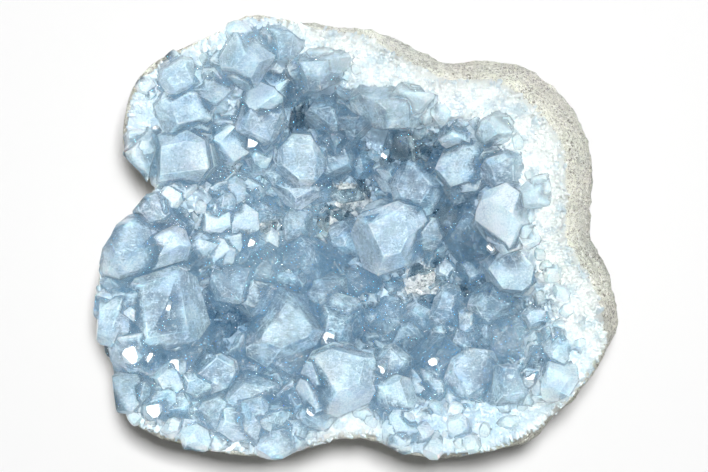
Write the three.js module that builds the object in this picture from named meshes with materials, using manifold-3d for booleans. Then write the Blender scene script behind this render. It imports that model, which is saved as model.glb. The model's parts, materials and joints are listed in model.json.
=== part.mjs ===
// A celestite geode: half of a lumpy nodule, lying on a small flat spot with its broken side up.
// A rind of sandy grey rock holds one crust of pale blue celestite, white and massive at the rim
// and grown into blunt, wedge-ended crystals over the hollow. Millimetres, +Z up. The origin is
// the middle of the flat spot that the geode rests on.
import * as THREE from "three";
import { mergeVertices } from "three/addons/utils/BufferGeometryUtils.js";
import Module from "manifold-3d";

// ---- driving sizes -------------------------------------------------------------------------
const FLAT_HALF_X = 30; // half length of the flat resting spot
const FLAT_HALF_Y = 24;
const RIND_FLOOR = 11; // rock left under the hollow
const RIND_WALL = 8; // rock around the hollow, at its widest
const RIND_LIP = 3; // width of the rock's broken edge at the rim
const LIP_DROP = 1.2; // how far the broken edge slopes down inwards
const LIP_FACE = 0.8; // the upright step at the broken edge's inner side
const WIDEST_SHARE = 0.62; // height of the widest level, as a share of the rim's height
const SEAT_GAP = 0.3; // between the rock and the crust
const HOLLOW_FLOOR = 25; // height of the crust's surface in the middle of the hollow
const WHITE_BAND = 9; // width of the massive white celestite inside the rock's edge
const BAND_DROP = 3; // how far that band slopes down inwards
const HOLLOW_POWER = 2.7; // how steeply the hollow's wall rises: 2 is a bowl, more is a tub
const COVER = 3.4; // how far the crust reaches out over the rim where hardly any rock is bare
const COVER_RISE = 1.4; // how much higher it stands there
const CRUST_RISE = 0.9; // how high the crust's edge stands over the rock's inner edge
const BARE_ROCK = 4; // where this much rock is bare or more, the crust stays inside its edge
const THIN_ROCK = 1.5; // where this little or less is bare, the crust reaches right over it
const ANGLE_STEPS = 52; // facets round the nodule
const OUTSIDE_STEPS = 9; // and up its outside
const INSIDE_STEPS = 5; // and down its inside
const OVERHANG_CUT = 14; // below the rim, the crust is cut off this far out
const FINEST = 0.2; // detail in the crust smaller than this is let go
const LUMP = 1.6; // how far the rock's lumps stand out
const LUMP_FOOT = 12; // height over the flat spot at which they have grown to full size
const LUMP_BELT = 14; // and they are smallest at the widest level, over this height either way
const LUMP_BELT_LEAST = 0.25;
const CRUST_LUMP = 1.1; // how far the crust's lumps stand out over the hollow
const BAND_LUMP_SHARE = 0.4; // and on the white band, as a share of that
const CRUST_LUMP_FINENESS = 2.3; // how many times more of them there are than on the rock
const BED_SLACK = 0.05; // the bed clears the rock by this much more than the seat's gap
const BED_EDGE = 0.6; // the bed's surface starts this far inside its edge
const BED_EDGE_LIFT = 0.15; // lift of the bed's edge where the crust covers the rim
const OUTLINE_SAMPLES = 40; // points on each stretch of the outline

// The widest outline seen from above, anticlockwise from +X. Each row: x, y, width of bare rock
// seen from above between the outline and the rim, height of the rim.
const OUTLINE = [
  [71.2, 0, 10.5, 64], [71.3, 12, 10.5, 65], [71, 23, 11, 66], [69, 34, 12, 66],
  [64, 41.5, 12.5, 66], [56.5, 47.5, 11.5, 65], [48, 51.8, 10.5, 64], [39, 52.3, 9.5, 63],
  [30, 52, 8.5, 62], [22, 55, 7.5, 61], [12, 59.8, 7, 60], [3, 63.6, 6, 59],
  [-8, 64, 4.5, 58], [-20, 65.8, 3, 57], [-31, 66.4, 1.5, 56], [-40, 62, 1.2, 55],
  [-50, 57, 1.2, 54], [-59, 52.5, 1.2, 53], [-65, 46, 1, 52], [-68.5, 38, 1, 51],
  [-69.5, 30, 1, 50], [-66.5, 22, 1, 49], [-61, 16, 1, 48], [-64, 9, 1, 47],
  [-71, 3, 1, 46], [-75.5, -6, 1, 45], [-78, -17, 1, 45], [-77.5, -28, 1, 45],
  [-73, -37, 1, 45], [-71.5, -47, 1, 45], [-68, -56, 1, 45], [-59, -60.5, 1, 46],
  [-49, -63.8, 1, 46], [-38, -65.8, 1, 47], [-27, -66.5, 1, 47], [-17, -65.6, 1.5, 48],
  [-8, -63, 3, 49], [1, -61.6, 3.5, 49], [9, -63.2, 2, 49], [19, -66.6, 1, 50],
  [30, -66.8, 1, 50], [42, -65, 1.2, 51], [52, -61.4, 2, 52], [61, -54.5, 3, 54],
  [68.5, -46, 2.5, 56], [75, -36.5, 3, 58], [79, -27, 7, 60], [79.3, -18, 10, 62],
  [76, -9, 11, 63],
];

// The crystals that stand out. Each row: x, y of the tip; how far the tip stands above the
// crust; width, thickness and length of the prism; lean from upright and the way it leans, in
// degrees; turn about its own axis; bluntness, from 0, a sharp wedge, to 1, cut off flat.
const CRYSTALS = [
  // low left corner
  [-58, -22, 17, 28.5, 23, 28, 10, 60, 18, 0.5],
  [-74, -24, 10, 18.5, 12, 18, 30, 190, 82, 0.5],
  [-66, 0, 13, 25, 17, 26, 18, 110, 22, 0.55],
  [-59, -9, 11, 27.5, 9, 22, 12, 110, 20, 0.2],
  [-53, 4, 8, 13.5, 11, 16, 20, 40, 60, 0.4],
  [-62, 9, 7, 11, 8.5, 14, 20, 150, 10, 0.4],
  [-65, -36, 11, 17, 13.5, 19, 12, 250, 8, 0.55],
  [-53, -38, 11, 18.5, 13.5, 20, 14, 300, -12, 0.6],
  [-68.5, -47, 13, 12, 12, 19, 8, 200, 85, 0.8],
  [-41.5, -41, 13, 12, 11, 18, 8, 60, 60, 0.7],
  [-59, -51, 8, 12, 10, 15, 10, 270, 10, 0.5],
  [-74, -15, 6, 8.5, 6, 12, 25, 160, 40, 0.3],
  [-42, -55, 7, 13.5, 10, 15, 20, 250, 20, 0.4],
  // low middle
  [-20, -27, 22, 26, 20.5, 34, 14, 70, 58, 0.45],
  [-32, -34, 15, 18.5, 12, 26, 16, 120, 60, 0.3],
  [-5, -26, 17, 17, 13.5, 26, 14, 70, 75, 0.25],
  [-4, -42, 19, 24, 19.5, 30, 10, 80, 24, 0.6],
  [11, -40, 15, 14.5, 12, 22, 12, 60, 50, 0.45],
  [10, -49, 10, 18.5, 12, 19, 10, 340, 20, 0.5],
  [-31, -49, 11, 19.5, 15, 22, 12, 90, 75, 0.55],
  [-17, -49, 10, 13.5, 12, 18, 10, 100, 30, 0.45],
  [-36, -57, 7, 14.5, 11, 16, 20, 240, 60, 0.4],
  [-24, -58, 7, 12, 10, 15, 22, 270, 10, 0.4],
  [-11, -54, 7, 11, 10, 15, 10, 260, 60, 0.5],
  [14, -53, 9, 10, 7.5, 16, 42, 92, 0, 0.05],
  [24, -38, 14, 18, 16, 24, 10, 90, 45, 0.05],
  [35, -41, 11, 18.5, 14.5, 21, 12, 130, 30, 0.6],
  [46, -44, 8, 17, 12, 18, 10, 120, 0, 0.6],
  [51.5, -42.5, 11, 6, 4.5, 17, 42, 240, 0, 0.3],
  [60, -42, 7, 14.5, 11, 17, 20, 130, 60, 0.4],
  // middle of the hollow
  [10, -1, 23, 24, 19.5, 36, 12, 210, 20, 0.5],
  [18, 14, 16, 19.5, 16, 28, 16, 215, 60, 0.45],
  [-16, 22, 16, 16.5, 14.5, 26, 10, 270, 85, 0.75],
  [-13, -9, 13, 20.5, 16, 26, 14, 330, 35, 0.2],
  [-27, -11, 11, 14.5, 13.5, 22, 14, 290, 60, 0.5],
  [-33, -2, 10, 12, 10, 19, 14, 40, 30, 0.35],
  [-40, -19, 6, 12, 10, 16, 12, 340, 45, 0.2],
  [-44, -30, 7, 11, 10, 16, 14, 20, 0, 0.2],
  [-38, 9, 8, 8.5, 6.5, 16, 20, 10, 80, 0.4],
  [-28, 9, 6, 14.5, 7.5, 16, 20, 60, 15, 0.2],
  [-12, 13, 7, 13.5, 8.5, 18, 20, 300, 0, 0.1],
  [-5, -4, 5, 13.5, 11, 16, 14, 30, 40, 0.15],
  [3, -14, 7, 12, 10, 17, 16, 60, 20, 0.2],
  [9, -24, 8, 13.5, 11, 18, 14, 100, 30, 0.3],
  [5, -18, 11, 5.5, 3.5, 18, 35, 85, 0, 0.2],
  [2, 22, 6, 12, 10, 16, 18, 240, 30, 0.2],
  [30, 5, 6, 13.5, 11, 17, 18, 200, 45, 0.2],
  [34, 0, 10, 16, 13.5, 22, 20, 190, 60, 0.6],
  [35, -10, 6, 11, 8.5, 15, 20, 170, 30, 0.2],
  // right wall
  [31, 17, 19, 14.5, 13.5, 32, 38, 245, 30, 0.3],
  [43, 18, 13, 13.5, 11, 24, 30, 235, 20, 0.5],
  [41, 5, 17, 20.5, 16, 32, 38, 190, 60, 0.65],
  [45, -11, 13, 19.5, 15, 28, 32, 205, 40, 0.5],
  [28, -22, 12, 16, 10, 22, 12, 120, 75, 0.4],
  [41, -21, 12, 14.5, 12, 22, 16, 230, 40, 0.45],
  [45, -31, 8, 18.5, 13.5, 20, 18, 160, 15, 0.4],
  [54, -24, 6, 10, 7.5, 15, 25, 190, 30, 0.3],
  [52, 12, 7, 11, 8.5, 16, 28, 200, 10, 0.4],
  // upper wall
  [40, 30, 7, 11, 8.5, 16, 28, 230, 30, 0.4],
  [14, 27, 7, 12, 10, 18, 20, 250, 70, 0.1],
  [11, 35, 14, 25, 10.5, 26, 30, 265, 5, 0.3],
  [17, 38.5, 6, 13.5, 8.5, 15, 28, 260, 0, 0.4],
  [-4, 31, 11, 13.5, 11, 22, 18, 260, 50, 0.5],
  [-10, 46, 13, 18, 10.5, 24, 30, 265, 5, 0.35],
  [-19, 43, 9, 16, 11, 22, 22, 280, 30, 0.1],
  [-28, 34, 13, 17, 13.5, 24, 14, 285, 70, 0.5],
  [-32, 50, 12, 17, 14.5, 24, 24, 275, 60, 0.5],
  [-21, 56, 6, 14.5, 9.5, 15, 25, 270, 0, 0.4],
  [-41, 44, 10, 12, 10, 19, 20, 300, 45, 0.3],
  [-51, 46, 9, 12, 10, 17, 20, 300, 30, 0.6],
  [-49, 37, 13, 18, 15, 24, 14, 320, 20, 0.6],
  [-53, 23, 14, 18.5, 16, 24, 10, 200, 10, 0.65],
  [-65, 21, 8, 12, 8.5, 17, 30, 250, 75, 0.3],
  [-42, 20, 7, 10, 8.5, 16, 14, 320, 30, 0.3],
  [-30, 22, 6, 10, 7.5, 15, 14, 300, 60, 0.2],
];

// Smaller crystals fill the gaps, spaced over the hollow on a spiral. Each SPREAD is how far one
// crystal differs from the next, up or down.
const FILLERS = 8;
const FILLER_INSET = 5; // how far the outermost stay inside the crust's edge
const FILLER_SIZE = 11; // width of a small crystal
const FILLER_SIZE_SPREAD = 0.25; // as a share of the width
const FILLER_THICKNESS = 0.8; // as a share of the width
const FILLER_LENGTH = 1.6; // as a share of the width
const FILLER_STAND = 5; // how far it stands out of the crust
const FILLER_STAND_SPREAD = 0.5; // as a share of that
const FILLER_LEAN = 8; // degrees from upright in the middle of the hollow
const FILLER_LEAN_RISE = 24; // and how much more at the rim, inwards
const FILLER_WAY_SPREAD = 40; // degrees
const FILLER_BLUNT = 0.35;
const FILLER_BLUNT_SPREAD = 0.3;

// Angles between the faces of celestite, in degrees: from the width for the prism's slanted
// sides, and from the growth axis for the faces of the end.
const PRISM_FACE = 52;
const ROOF_FACE = 42;
const ROOF_SPREAD = 7;
const END_FACE = 50;
const END_SPREAD = 4;

// Where those faces stand, as shares of a crystal's sizes.
const SIDE_SHARE = 0.74; // the slanted sides, of the way out to the prism's corner
const SIDE_SPREAD = 0.11;
const RIDGE_SPREAD = 0.16; // the roof's ridge off the axis, of the width
const END_REACH = 0.08; // the end faces off the axis, of the thickness
const END_REACH_SPREAD = 0.12;
const ROOF_RISE = 0.08; // how far above the flat top the roof would meet, of the narrower size
const ROOF_RISE_BLUNT = 0.36; // and how much more on a crystal that is cut off flat
const TOP_TILT = 0.2; // slope of the flat top

const ROCK = { name: "rind", color: 0xd6d8ca, roughness: 0.95 };
const CELESTITE = { name: "crystal_crust", color: 0xa9cbe0, roughness: 0.25 };

// ---- plain maths ---------------------------------------------------------------------------
const radians = THREE.MathUtils.degToRad;

// A number from -1 to 1 that is always the same for the same crystal and face.
function wobble(index, face) {
  const s = Math.sin((index + 1) * 12.9898 + (face + 1) * 78.233) * 43758.5453;
  return 2 * (s - Math.floor(s)) - 1;
}

// Soft lumps, from about -1 to 1, a few of them across the nodule.
function lumps(x, y, z) {
  return (
    0.45 * Math.sin(0.062 * x + 0.021 * z + 0.6) * Math.cos(0.071 * y - 0.03 * z + 1.1) +
    0.35 * Math.sin(0.131 * y + 0.082 * x - 2.0) * Math.cos(0.118 * z + 0.05 * x) +
    0.2 * Math.sin(0.23 * x - 0.19 * y + 0.21 * z)
  );
}

// The outline as evenly spaced angles round the origin, each with its radius, bare width and rim.
function readOutline() {
  const plan = new THREE.CatmullRomCurve3(
    OUTLINE.map(([x, y]) => new THREE.Vector3(x, y, 0)),
    true,
  );
  const levels = new THREE.CatmullRomCurve3(
    OUTLINE.map(([, , bare, rim]) => new THREE.Vector3(bare, rim, 0)),
    true,
    "catmullrom",
    0.5,
  );
  const samples = [];
  const count = OUTLINE_SAMPLES * OUTLINE.length;
  for (let i = 0; i <= count; i++) {
    const p = plan.getPoint((i / count) % 1);
    const q = levels.getPoint((i / count) % 1);
    const turn = i === count ? 2 * Math.PI : 0;
    const angle = (Math.atan2(p.y, p.x) + 2 * Math.PI) % (2 * Math.PI);
    samples.push({ angle: angle + turn, reach: Math.hypot(p.x, p.y), bare: q.x, rim: q.y });
  }
  return samples;
}
const SAMPLES = readOutline();

// The outline's values at any angle, by straight lines between its samples.
function around(angle) {
  const a = ((angle % (2 * Math.PI)) + 2 * Math.PI) % (2 * Math.PI);
  let low = 0;
  let high = SAMPLES.length - 1;
  while (high - low > 1) {
    const middle = (low + high) >> 1;
    if (SAMPLES[middle].angle <= a) low = middle;
    else high = middle;
  }
  const [p, q] = [SAMPLES[low], SAMPLES[high]];
  const share = (a - p.angle) / Math.max(q.angle - p.angle, 1e-9);
  const mix = (key) => p[key] + share * (q[key] - p[key]);
  const flat = 1 / Math.hypot(Math.cos(a) / FLAT_HALF_X, Math.sin(a) / FLAT_HALF_Y);
  const [reach, bare, rim] = [mix("reach"), mix("bare"), mix("rim")];
  const cover = THREE.MathUtils.clamp((BARE_ROCK - bare) / (BARE_ROCK - THIN_ROCK), 0.02, 1);
  return { reach, bare, rim, flat, cover, lip: reach - bare - RIND_LIP };
}

// ---- the nodule's skins --------------------------------------------------------------------
// The rock's outside at one angle, from the flat spot up to the rim: radius and height.
function outerWall(angle, steps) {
  const { reach, bare, rim, flat } = around(angle);
  const widest = rim * WIDEST_SHARE;
  const points = [];
  for (let i = 0; i <= steps; i++) {
    const turn = (i / steps) * Math.PI - Math.PI / 2;
    const below = turn < 0;
    const span = below ? reach - flat : bare;
    const rise = below ? widest : rim - widest;
    const r = reach - span * (1 - Math.cos(turn));
    const z = widest + rise * Math.sin(turn);
    const [x, y] = [r * Math.cos(angle), r * Math.sin(angle)];
    const belt = Math.min(1, Math.abs(z - widest) / LUMP_BELT + LUMP_BELT_LEAST);
    const free = Math.min(1, z / LUMP_FOOT) * belt;
    points.push([r + LUMP * free * lumps(x, y, z), z]);
  }
  return points;
}

// The rock's inside at one angle, from the rim down to the middle; gap moves it inwards.
function innerWall(angle, steps, gap) {
  const { reach, rim, flat, lip } = around(angle);
  const widest = rim * WIDEST_SHARE;
  const across = reach - RIND_WALL - gap;
  const edge = rim - LIP_DROP;
  const undercut = THREE.MathUtils.clamp(across - lip, -1, 1); // below 0, the wall leans out
  const points = [[lip - gap, edge + gap]];
  for (let i = 0; i <= steps; i++) {
    const turn = Math.PI / 2 - (i / steps) * Math.PI;
    const above = turn > 0;
    const span = above ? across - lip + gap : across - flat + RIND_WALL;
    const top = edge - LIP_FACE - gap * undercut;
    const rise = above ? top - widest : widest - RIND_FLOOR - gap;
    points.push([across - span * (1 - Math.cos(turn)), widest + rise * Math.sin(turn)]);
  }
  return points;
}

// Height of the crust's surface over a point in plan, without its crystals.
function crustHeight(x, y) {
  const angle = Math.atan2(y, x);
  const { rim, lip, cover } = around(angle);
  const band = lip - WHITE_BAND;
  const r = Math.hypot(x, y);
  const edge = rim - LIP_DROP + CRUST_RISE + (LIP_DROP + COVER_RISE) * cover;
  const top = edge - BAND_DROP;
  const rough = CRUST_LUMP * lumps(CRUST_LUMP_FINENESS * x, CRUST_LUMP_FINENESS * y, 9);
  if (r > band) {
    const slope = BAND_DROP * Math.min(1, (r - band) / WHITE_BAND);
    return top + slope + BAND_LUMP_SHARE * rough;
  }
  return HOLLOW_FLOOR + (top - HOLLOW_FLOOR) * Math.pow(r / band, HOLLOW_POWER) + rough;
}

// A closed skin through a ring of points for each step of a profile that starts and ends on
// the axis. profile(angle) gives the steps in between; low and high are the two ends' heights.
function skinGeometry(profile, low, high) {
  const position = [0, 0, low, 0, 0, high];
  const index = [];
  let rings = 0;
  for (let i = 0; i < ANGLE_STEPS; i++) {
    const angle = (i / ANGLE_STEPS) * 2 * Math.PI;
    const points = profile(angle);
    rings = points.length;
    for (const [r, z] of points) position.push(r * Math.cos(angle), r * Math.sin(angle), z);
  }
  const at = (i, j) => 2 + (i % ANGLE_STEPS) * rings + j;
  for (let i = 0; i < ANGLE_STEPS; i++) {
    index.push(0, at(i + 1, 0), at(i, 0));
    for (let j = 0; j + 1 < rings; j++) {
      index.push(at(i, j), at(i + 1, j), at(i + 1, j + 1));
      index.push(at(i, j), at(i + 1, j + 1), at(i, j + 1));
    }
    index.push(1, at(i, rings - 1), at(i + 1, rings - 1));
  }
  const geometry = new THREE.BufferGeometry();
  geometry.setAttribute("position", new THREE.Float32BufferAttribute(position, 3));
  geometry.setIndex(index);
  return geometry;
}

// The rock as a closed skin. A gap above 0 swells its inside, for cutting the crust to fit.
function rindGeometry(gap) {
  const profile = (angle) => {
    const outside = outerWall(angle, OUTSIDE_STEPS);
    const inside = innerWall(angle, INSIDE_STEPS, gap).slice(0, -1);
    if (gap === 0) return [...outside, ...inside];
    const swollen = outside.map(([r, z]) => [r + OVERHANG_CUT, z + gap]);
    return [...swollen, [outside.at(-1)[0], outside.at(-1)[1] + gap], ...inside];
  };
  return skinGeometry(profile, 0, RIND_FLOOR + gap);
}

// Where the crust's surface has its rings of points, as shares of the way out to its edge.
const CRUST_RINGS = [1, 0.86, 0.66, 0.36];

// The crust's bed as a closed skin: down the rock's inside, and back over the hollow.
function bedGeometry() {
  const profile = (angle) => {
    const { rim, lip, cover } = around(angle);
    const gap = SEAT_GAP + BED_SLACK;
    const under = innerWall(angle, INSIDE_STEPS, gap).reverse().slice(1);
    const edge = lip - gap + (COVER + gap) * cover;
    const rest = rim - LIP_DROP * (1 - THREE.MathUtils.clamp((edge - lip) / RIND_LIP, 0, 1)) + gap;
    const over = CRUST_RINGS.map((share) => {
      const r = share * (edge - BED_EDGE);
      return [r, crustHeight(r * Math.cos(angle), r * Math.sin(angle))];
    });
    return [...under, [edge, rest + BED_EDGE_LIFT * cover], ...over];
  };
  return skinGeometry(profile, RIND_FLOOR + SEAT_GAP + BED_SLACK, crustHeight(0.01, 0));
}

// ---- solids --------------------------------------------------------------------------------
const wasm = await Module();
wasm.setup();

// A three.js geometry as a solid that can be joined and cut.
function solidOf(geometry) {
  const merged = geometry.clone();
  merged.deleteAttribute("normal");
  merged.deleteAttribute("uv");
  const shared = mergeVertices(merged, 1e-4);
  return new wasm.Manifold(
    new wasm.Mesh({
      numProp: 3,
      vertProperties: new Float32Array(shared.getAttribute("position").array),
      triVerts: new Uint32Array(shared.index.array),
    }),
  );
}

// A solid as a three.js geometry.
function geometryOf(solid) {
  const mesh = solid.getMesh();
  const position = new Float32Array(mesh.numVert * 3);
  for (let i = 0; i < mesh.numVert; i++) {
    const from = i * mesh.numProp;
    position.set(mesh.vertProperties.subarray(from, from + 3), i * 3);
  }
  const geometry = new THREE.BufferGeometry();
  geometry.setAttribute("position", new THREE.BufferAttribute(position, 3));
  geometry.setIndex(new THREE.BufferAttribute(mesh.triVerts, 1));
  return geometry.toNonIndexed();
}

// The faces of one crystal, as outward normals and distances from its root. The crystal stands
// on its root and grows along z, its width along x: four slanted sides, a nearly level top, and
// round it two roof faces and two end faces that would meet a little above it.
function crystalFaces(width, thickness, length, bluntness, index) {
  const faces = [];
  const side = radians(PRISM_FACE);
  const corner = (width / 2) * Math.cos(side) + (thickness / 2) * Math.sin(side);
  for (const [k, sx, sy] of [[0, 1, 1], [1, -1, 1], [2, -1, -1], [3, 1, -1]]) {
    const normal = [sx * Math.cos(side), sy * Math.sin(side), 0];
    faces.push([normal, corner * (SIDE_SHARE + SIDE_SPREAD * wobble(index, k))]);
  }
  const roof = radians(ROOF_FACE + ROOF_SPREAD * wobble(index, 4));
  const ridge = RIDGE_SPREAD * width * wobble(index, 5);
  const rise = ROOF_RISE + ROOF_RISE_BLUNT * bluntness;
  const high = length + rise * Math.min(width, thickness);
  for (const s of [1, -1]) {
    const normal = [s * Math.sin(roof), 0, Math.cos(roof)];
    faces.push([normal, high * Math.cos(roof) + s * ridge * Math.sin(roof)]);
  }
  const end = radians(END_FACE + END_SPREAD * wobble(index, 6));
  for (const [k, s] of [[7, 1], [8, -1]]) {
    const reach = thickness * (END_REACH + END_REACH_SPREAD * wobble(index, k));
    const normal = [0, s * Math.sin(end), Math.cos(end)];
    faces.push([normal, high * Math.cos(end) + reach * Math.sin(end)]);
  }
  const top = new THREE.Vector3(TOP_TILT * wobble(index, 9), TOP_TILT * wobble(index, 10), 1);
  const normal = top.normalize().toArray();
  faces.push([normal, length * normal[2]]);
  return faces;
}

// One crystal as a solid, in its place.
function crystalSolid(row, index) {
  const [x, y, stand, width, thickness, length, lean, way, turn, bluntness] = row;
  const block = new THREE.BoxGeometry(width, thickness, length);
  block.translate(0, 0, length / 2);
  let solid = solidOf(block);
  for (const [normal, distance] of crystalFaces(width, thickness, length, bluntness, index)) {
    solid = solid.trimByPlane(normal.map((n) => -n), -distance);
  }
  const axis = new THREE.Vector3(
    Math.sin(radians(lean)) * Math.cos(radians(way)),
    Math.sin(radians(lean)) * Math.sin(radians(way)),
    Math.cos(radians(lean)),
  );
  const tip = new THREE.Vector3(x, y, crustHeight(x, y) + stand);
  const place = new THREE.Matrix4().makeRotationFromQuaternion(
    new THREE.Quaternion()
      .setFromUnitVectors(new THREE.Vector3(0, 0, 1), axis)
      .multiply(new THREE.Quaternion().setFromAxisAngle(new THREE.Vector3(0, 0, 1), radians(turn))),
  );
  place.setPosition(tip.addScaledVector(axis, -length));
  return solid.transform(place.elements);
}

// The small crystals' rows, as in the table of the large ones.
function fillerRows() {
  const rows = [];
  for (let i = 0; i < FILLERS; i++) {
    const angle = (i + 0.5) * Math.PI * (3 - Math.sqrt(5));
    const { lip, cover } = around(angle);
    const outermost = lip - FILLER_INSET - WHITE_BAND * (1 - cover);
    const r = outermost * Math.sqrt((i + 0.5) / FILLERS);
    const [x, y] = [r * Math.cos(angle), r * Math.sin(angle)];
    const width = FILLER_SIZE * (1 + FILLER_SIZE_SPREAD * wobble(i, 20));
    const lean = FILLER_LEAN + (FILLER_LEAN_RISE * r) / lip;
    const way = THREE.MathUtils.radToDeg(angle) + 180 + FILLER_WAY_SPREAD * wobble(i, 21);
    const stand = FILLER_STAND * (1 + FILLER_STAND_SPREAD * wobble(i, 22));
    const blunt = FILLER_BLUNT + FILLER_BLUNT_SPREAD * wobble(i, 23);
    const [thickness, length] = [FILLER_THICKNESS * width, FILLER_LENGTH * width];
    rows.push([x, y, stand, width, thickness, length, lean, way, 90 * wobble(i, 24), blunt]);
  }
  return rows;
}

// The crust: its bed with every crystal grown into it, cut clear of the rock all round.
function crustSolid() {
  const crystals = [...CRYSTALS, ...fillerRows()].map(crystalSolid);
  const grown = wasm.Manifold.union([solidOf(bedGeometry()), ...crystals]);
  const cut = grown.subtract(solidOf(rindGeometry(SEAT_GAP))).simplify(FINEST).decompose();
  return cut.sort((a, b) => b.volume() - a.volume())[0];
}

// ---- the part ------------------------------------------------------------------------------
function mesh(geometry, { name, color, roughness }) {
  const material = new THREE.MeshStandardMaterial({ color, roughness, metalness: 0 });
  const made = new THREE.Mesh(geometry, material);
  made.name = name;
  return made;
}

const geode = new THREE.Group();
geode.add(mesh(rindGeometry(0), ROCK));
geode.add(mesh(geometryOf(crustSolid()), CELESTITE));

export default geode;
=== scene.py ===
"""A celestite geode lying on its back: sandy rock, massive white celestite and blue crystals.

Every shape is in millimetres in the functions below and is put into its mesh in metres.
"""

import itertools
import json
import math
from collections import namedtuple

import bmesh
import bpy
import numpy as np
from bpy.props import FloatProperty, FloatVectorProperty, PointerProperty
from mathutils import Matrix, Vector

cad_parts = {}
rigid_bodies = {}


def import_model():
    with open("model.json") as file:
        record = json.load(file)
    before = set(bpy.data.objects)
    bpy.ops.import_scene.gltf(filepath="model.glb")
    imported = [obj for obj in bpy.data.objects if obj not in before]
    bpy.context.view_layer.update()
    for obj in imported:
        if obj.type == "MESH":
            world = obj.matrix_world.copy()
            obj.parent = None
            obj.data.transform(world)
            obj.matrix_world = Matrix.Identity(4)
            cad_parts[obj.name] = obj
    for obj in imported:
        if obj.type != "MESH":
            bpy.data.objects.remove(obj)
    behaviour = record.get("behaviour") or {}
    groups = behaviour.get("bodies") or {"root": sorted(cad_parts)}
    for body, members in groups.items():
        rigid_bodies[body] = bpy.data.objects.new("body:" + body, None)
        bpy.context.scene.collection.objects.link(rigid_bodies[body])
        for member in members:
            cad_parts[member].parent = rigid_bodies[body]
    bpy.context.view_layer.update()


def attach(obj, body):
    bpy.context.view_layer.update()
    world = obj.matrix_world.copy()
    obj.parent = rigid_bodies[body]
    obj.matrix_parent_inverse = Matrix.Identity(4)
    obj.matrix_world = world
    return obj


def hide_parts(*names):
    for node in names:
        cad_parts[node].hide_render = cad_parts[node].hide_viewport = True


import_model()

bl_info = {
    "name": "Celestite Geode",
    "version": (1, 0, 0),
    "blender": (4, 5, 0),
    "location": "3D View > Sidebar > Geode",
    "description": "Makes a celestite geode: rock, massive crust, crystals and a stage",
    "category": "Add Mesh",
}

MM = 0.001

# The widest outline seen from above, anticlockwise from +X. Each row, in millimetres: x, y,
# width of bare rock between the outline and the rim, height of the rim.
OUTLINE = np.array([
    (71.2, 0, 10.5, 64), (71.3, 12, 10.5, 65), (71, 23, 11, 66), (69, 34, 12, 66),
    (64, 41.5, 12.5, 66), (56.5, 47.5, 11.5, 65), (48, 51.8, 10.5, 64), (39, 52.3, 9.5, 63),
    (30, 52, 8.5, 62), (22, 55, 7.5, 61), (12, 59.8, 7, 60), (3, 63.6, 6, 59),
    (-8, 64, 4.5, 58), (-20, 65.8, 3, 57), (-31, 66.4, 1.5, 56), (-40, 62, 1.2, 55),
    (-50, 57, 1.2, 54), (-59, 52.5, 1.2, 53), (-65, 46, 1, 52), (-68.5, 38, 1, 51),
    (-69.5, 30, 1, 50), (-66.5, 22, 1, 49), (-61, 16, 1, 48), (-64, 9, 1, 47),
    (-71, 3, 1, 46), (-75.5, -6, 1, 45), (-78, -17, 1, 45), (-77.5, -28, 1, 45),
    (-73, -37, 1, 45), (-71.5, -47, 1, 45), (-68, -56, 1, 45), (-59, -60.5, 1, 46),
    (-49, -63.8, 1, 46), (-38, -65.8, 1, 47), (-27, -66.5, 1, 47), (-17, -65.6, 1.5, 48),
    (-8, -63, 3, 49), (1, -61.6, 3.5, 49), (9, -63.2, 2, 49), (19, -66.6, 1, 50),
    (30, -66.8, 1, 50), (42, -65, 1.2, 51), (52, -61.4, 2, 52), (61, -54.5, 3, 54),
    (68.5, -46, 2.5, 56), (75, -36.5, 3, 58), (79, -27, 7, 60), (79.3, -18, 10, 62),
    (76, -9, 11, 63),
])

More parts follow.
